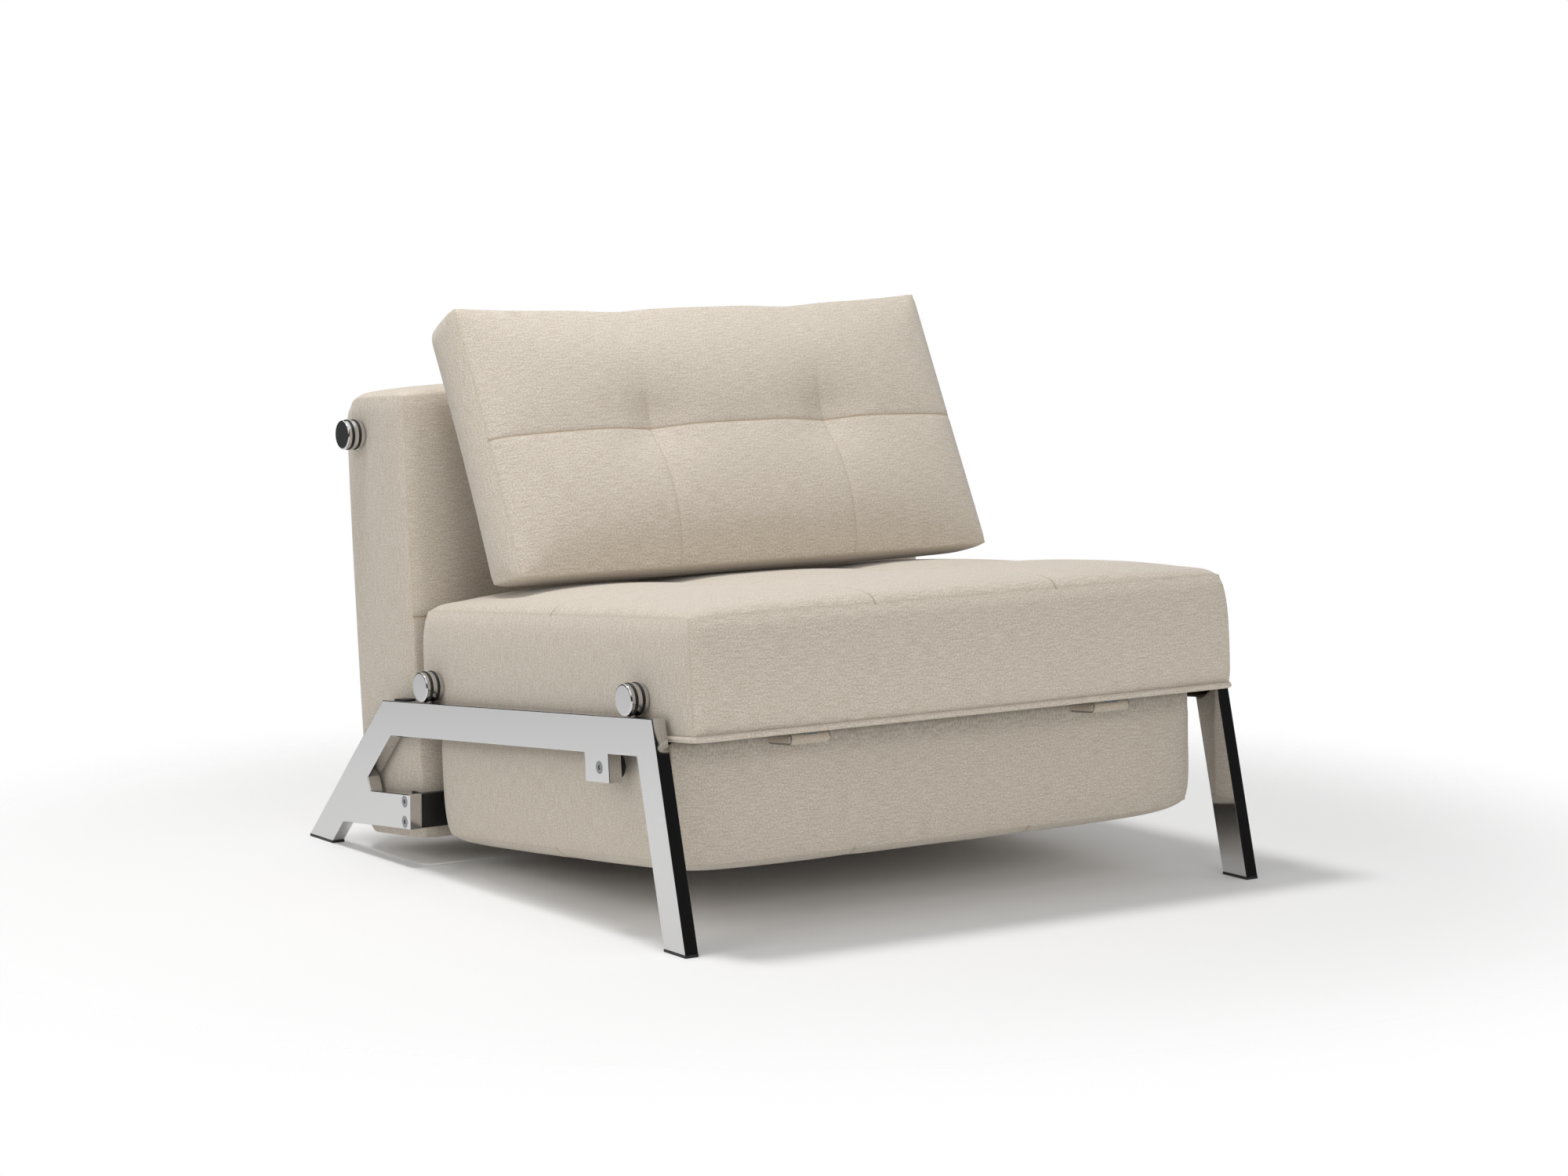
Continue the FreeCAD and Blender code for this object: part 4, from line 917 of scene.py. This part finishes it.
# Studio paper: matt white. To the camera alone it clears into the backdrop on its way out.
paper, tree, shader = new_material("white studio paper", "#f4f4f4", 0.9)
place = add_node(tree, "ShaderNodeTexCoord")
away = add_node(tree, "ShaderNodeVectorMath", {"operation": "LENGTH"}, {0: place.outputs["Object"]})
fade = add_node(tree, "ShaderNodeMapRange",
                {"From Min": FADE_START, "From Max": FADE_END, "interpolation_type": "SMOOTHSTEP"},
                {"Value": away.outputs["Value"]})
rays = add_node(tree, "ShaderNodeLightPath")
seen_fade = add_node(tree, "ShaderNodeMath", {"operation": "MULTIPLY"},
                     {0: fade.outputs["Result"], 1: rays.outputs["Is Camera Ray"]})
clear = add_node(tree, "ShaderNodeBsdfTransparent")
blend = add_node(tree, "ShaderNodeMixShader",
                 links={0: seen_fade.outputs["Value"], 1: shader.outputs["BSDF"],
                        2: clear.outputs["BSDF"]})
tree.links.new(blend.outputs["Shader"], tree.nodes["Material Output"].inputs["Surface"])
floor.data.materials.append(paper)

# The room: white to the camera, an even glow on the cloth, and to the chrome a dark room with a
# bright ceiling.
world = bpy.data.worlds.new("studio room")
bpy.context.scene.world = world
world.use_nodes = True
tree = world.node_tree
tree.nodes.clear()
direction = add_node(tree, "ShaderNodeTexCoord")
split = add_node(tree, "ShaderNodeSeparateXYZ", links={"Vector": direction.outputs["Generated"]})
room = add_node(tree, "ShaderNodeValToRGB", links={"Fac": split.outputs["Z"]})
room.color_ramp.elements[0].position = 0.0
room.color_ramp.elements[0].color = (0.06, 0.06, 0.06, 1)
room.color_ramp.elements[1].position = 0.62
room.color_ramp.elements[1].color = (1.0, 1.0, 1.0, 1)
for height in (0.12, 0.42):
    room.color_ramp.elements.new(height).color = (0.012, 0.012, 0.012, 1)
soft_box = add_node(tree, "ShaderNodeBackground", {"Strength": 1.0},
                    {"Color": room.outputs["Color"]})
ambient = add_node(tree, "ShaderNodeBackground", {"Color": (1.0, 1.0, 1.0, 1), "Strength": 0.50})
backdrop = add_node(tree, "ShaderNodeBackground", {"Color": (1.0, 1.0, 1.0, 1), "Strength": 1.0})
rays = add_node(tree, "ShaderNodeLightPath")
mirrored = add_node(tree, "ShaderNodeMixShader", links={0: rays.outputs["Is Glossy Ray"],
                                                        1: ambient.outputs["Background"],
                                                        2: soft_box.outputs["Background"]})
seen = add_node(tree, "ShaderNodeMixShader", links={0: rays.outputs["Is Camera Ray"],
                                                    1: mirrored.outputs["Shader"],
                                                    2: backdrop.outputs["Background"]})
add_node(tree, "ShaderNodeOutputWorld", links={"Surface": seen.outputs["Shader"]})


def soft_light(name, place, aim, size, power):
    """An area lamp turned towards its aim, with its size in metres and its power in watts."""
    lamp = bpy.data.lights.new(name, "AREA")
    lamp.shape = "RECTANGLE"
    lamp.size, lamp.size_y = size
    lamp.energy = power
    holder = bpy.data.objects.new(name, lamp)
    holder.location = place
    holder.rotation_euler = (Vector(aim) - Vector(place)).to_track_quat("-Z", "Y").to_euler()
    bpy.context.scene.collection.objects.link(holder)
    return holder


soft_light("overhead soft box", place=(-0.65, 0.3, 3.1), aim=(0, 0, 0.2), size=(0.5, 0.5), power=47)
soft_light("left soft box", place=(-3.2, -0.6, 1.8), aim=(0, 0, 0.4), size=(1.8, 1.8), power=14)
fill = soft_light("front fill", place=(-0.6, -4.2, 1.6), aim=(0, 0, 0.4), size=(2.4, 1.6), power=34)
fill.visible_glossy = False

# Camera at the photograph's viewing angle, fitted to the rails, legs and seams.
camera_data = bpy.data.cameras.new("camera")
camera_data.lens = 90.94
camera_data.sensor_width = 36.0
camera = bpy.data.objects.new("camera", camera_data)
camera.location = (-3.1284, -4.6874, 1.0697)
camera.rotation_euler = (math.radians(90 - 6.87), 0, math.radians(-33.92))
bpy.context.scene.collection.objects.link(camera)
bpy.context.scene.camera = camera
bpy.context.scene.view_settings.view_transform = "Standard"
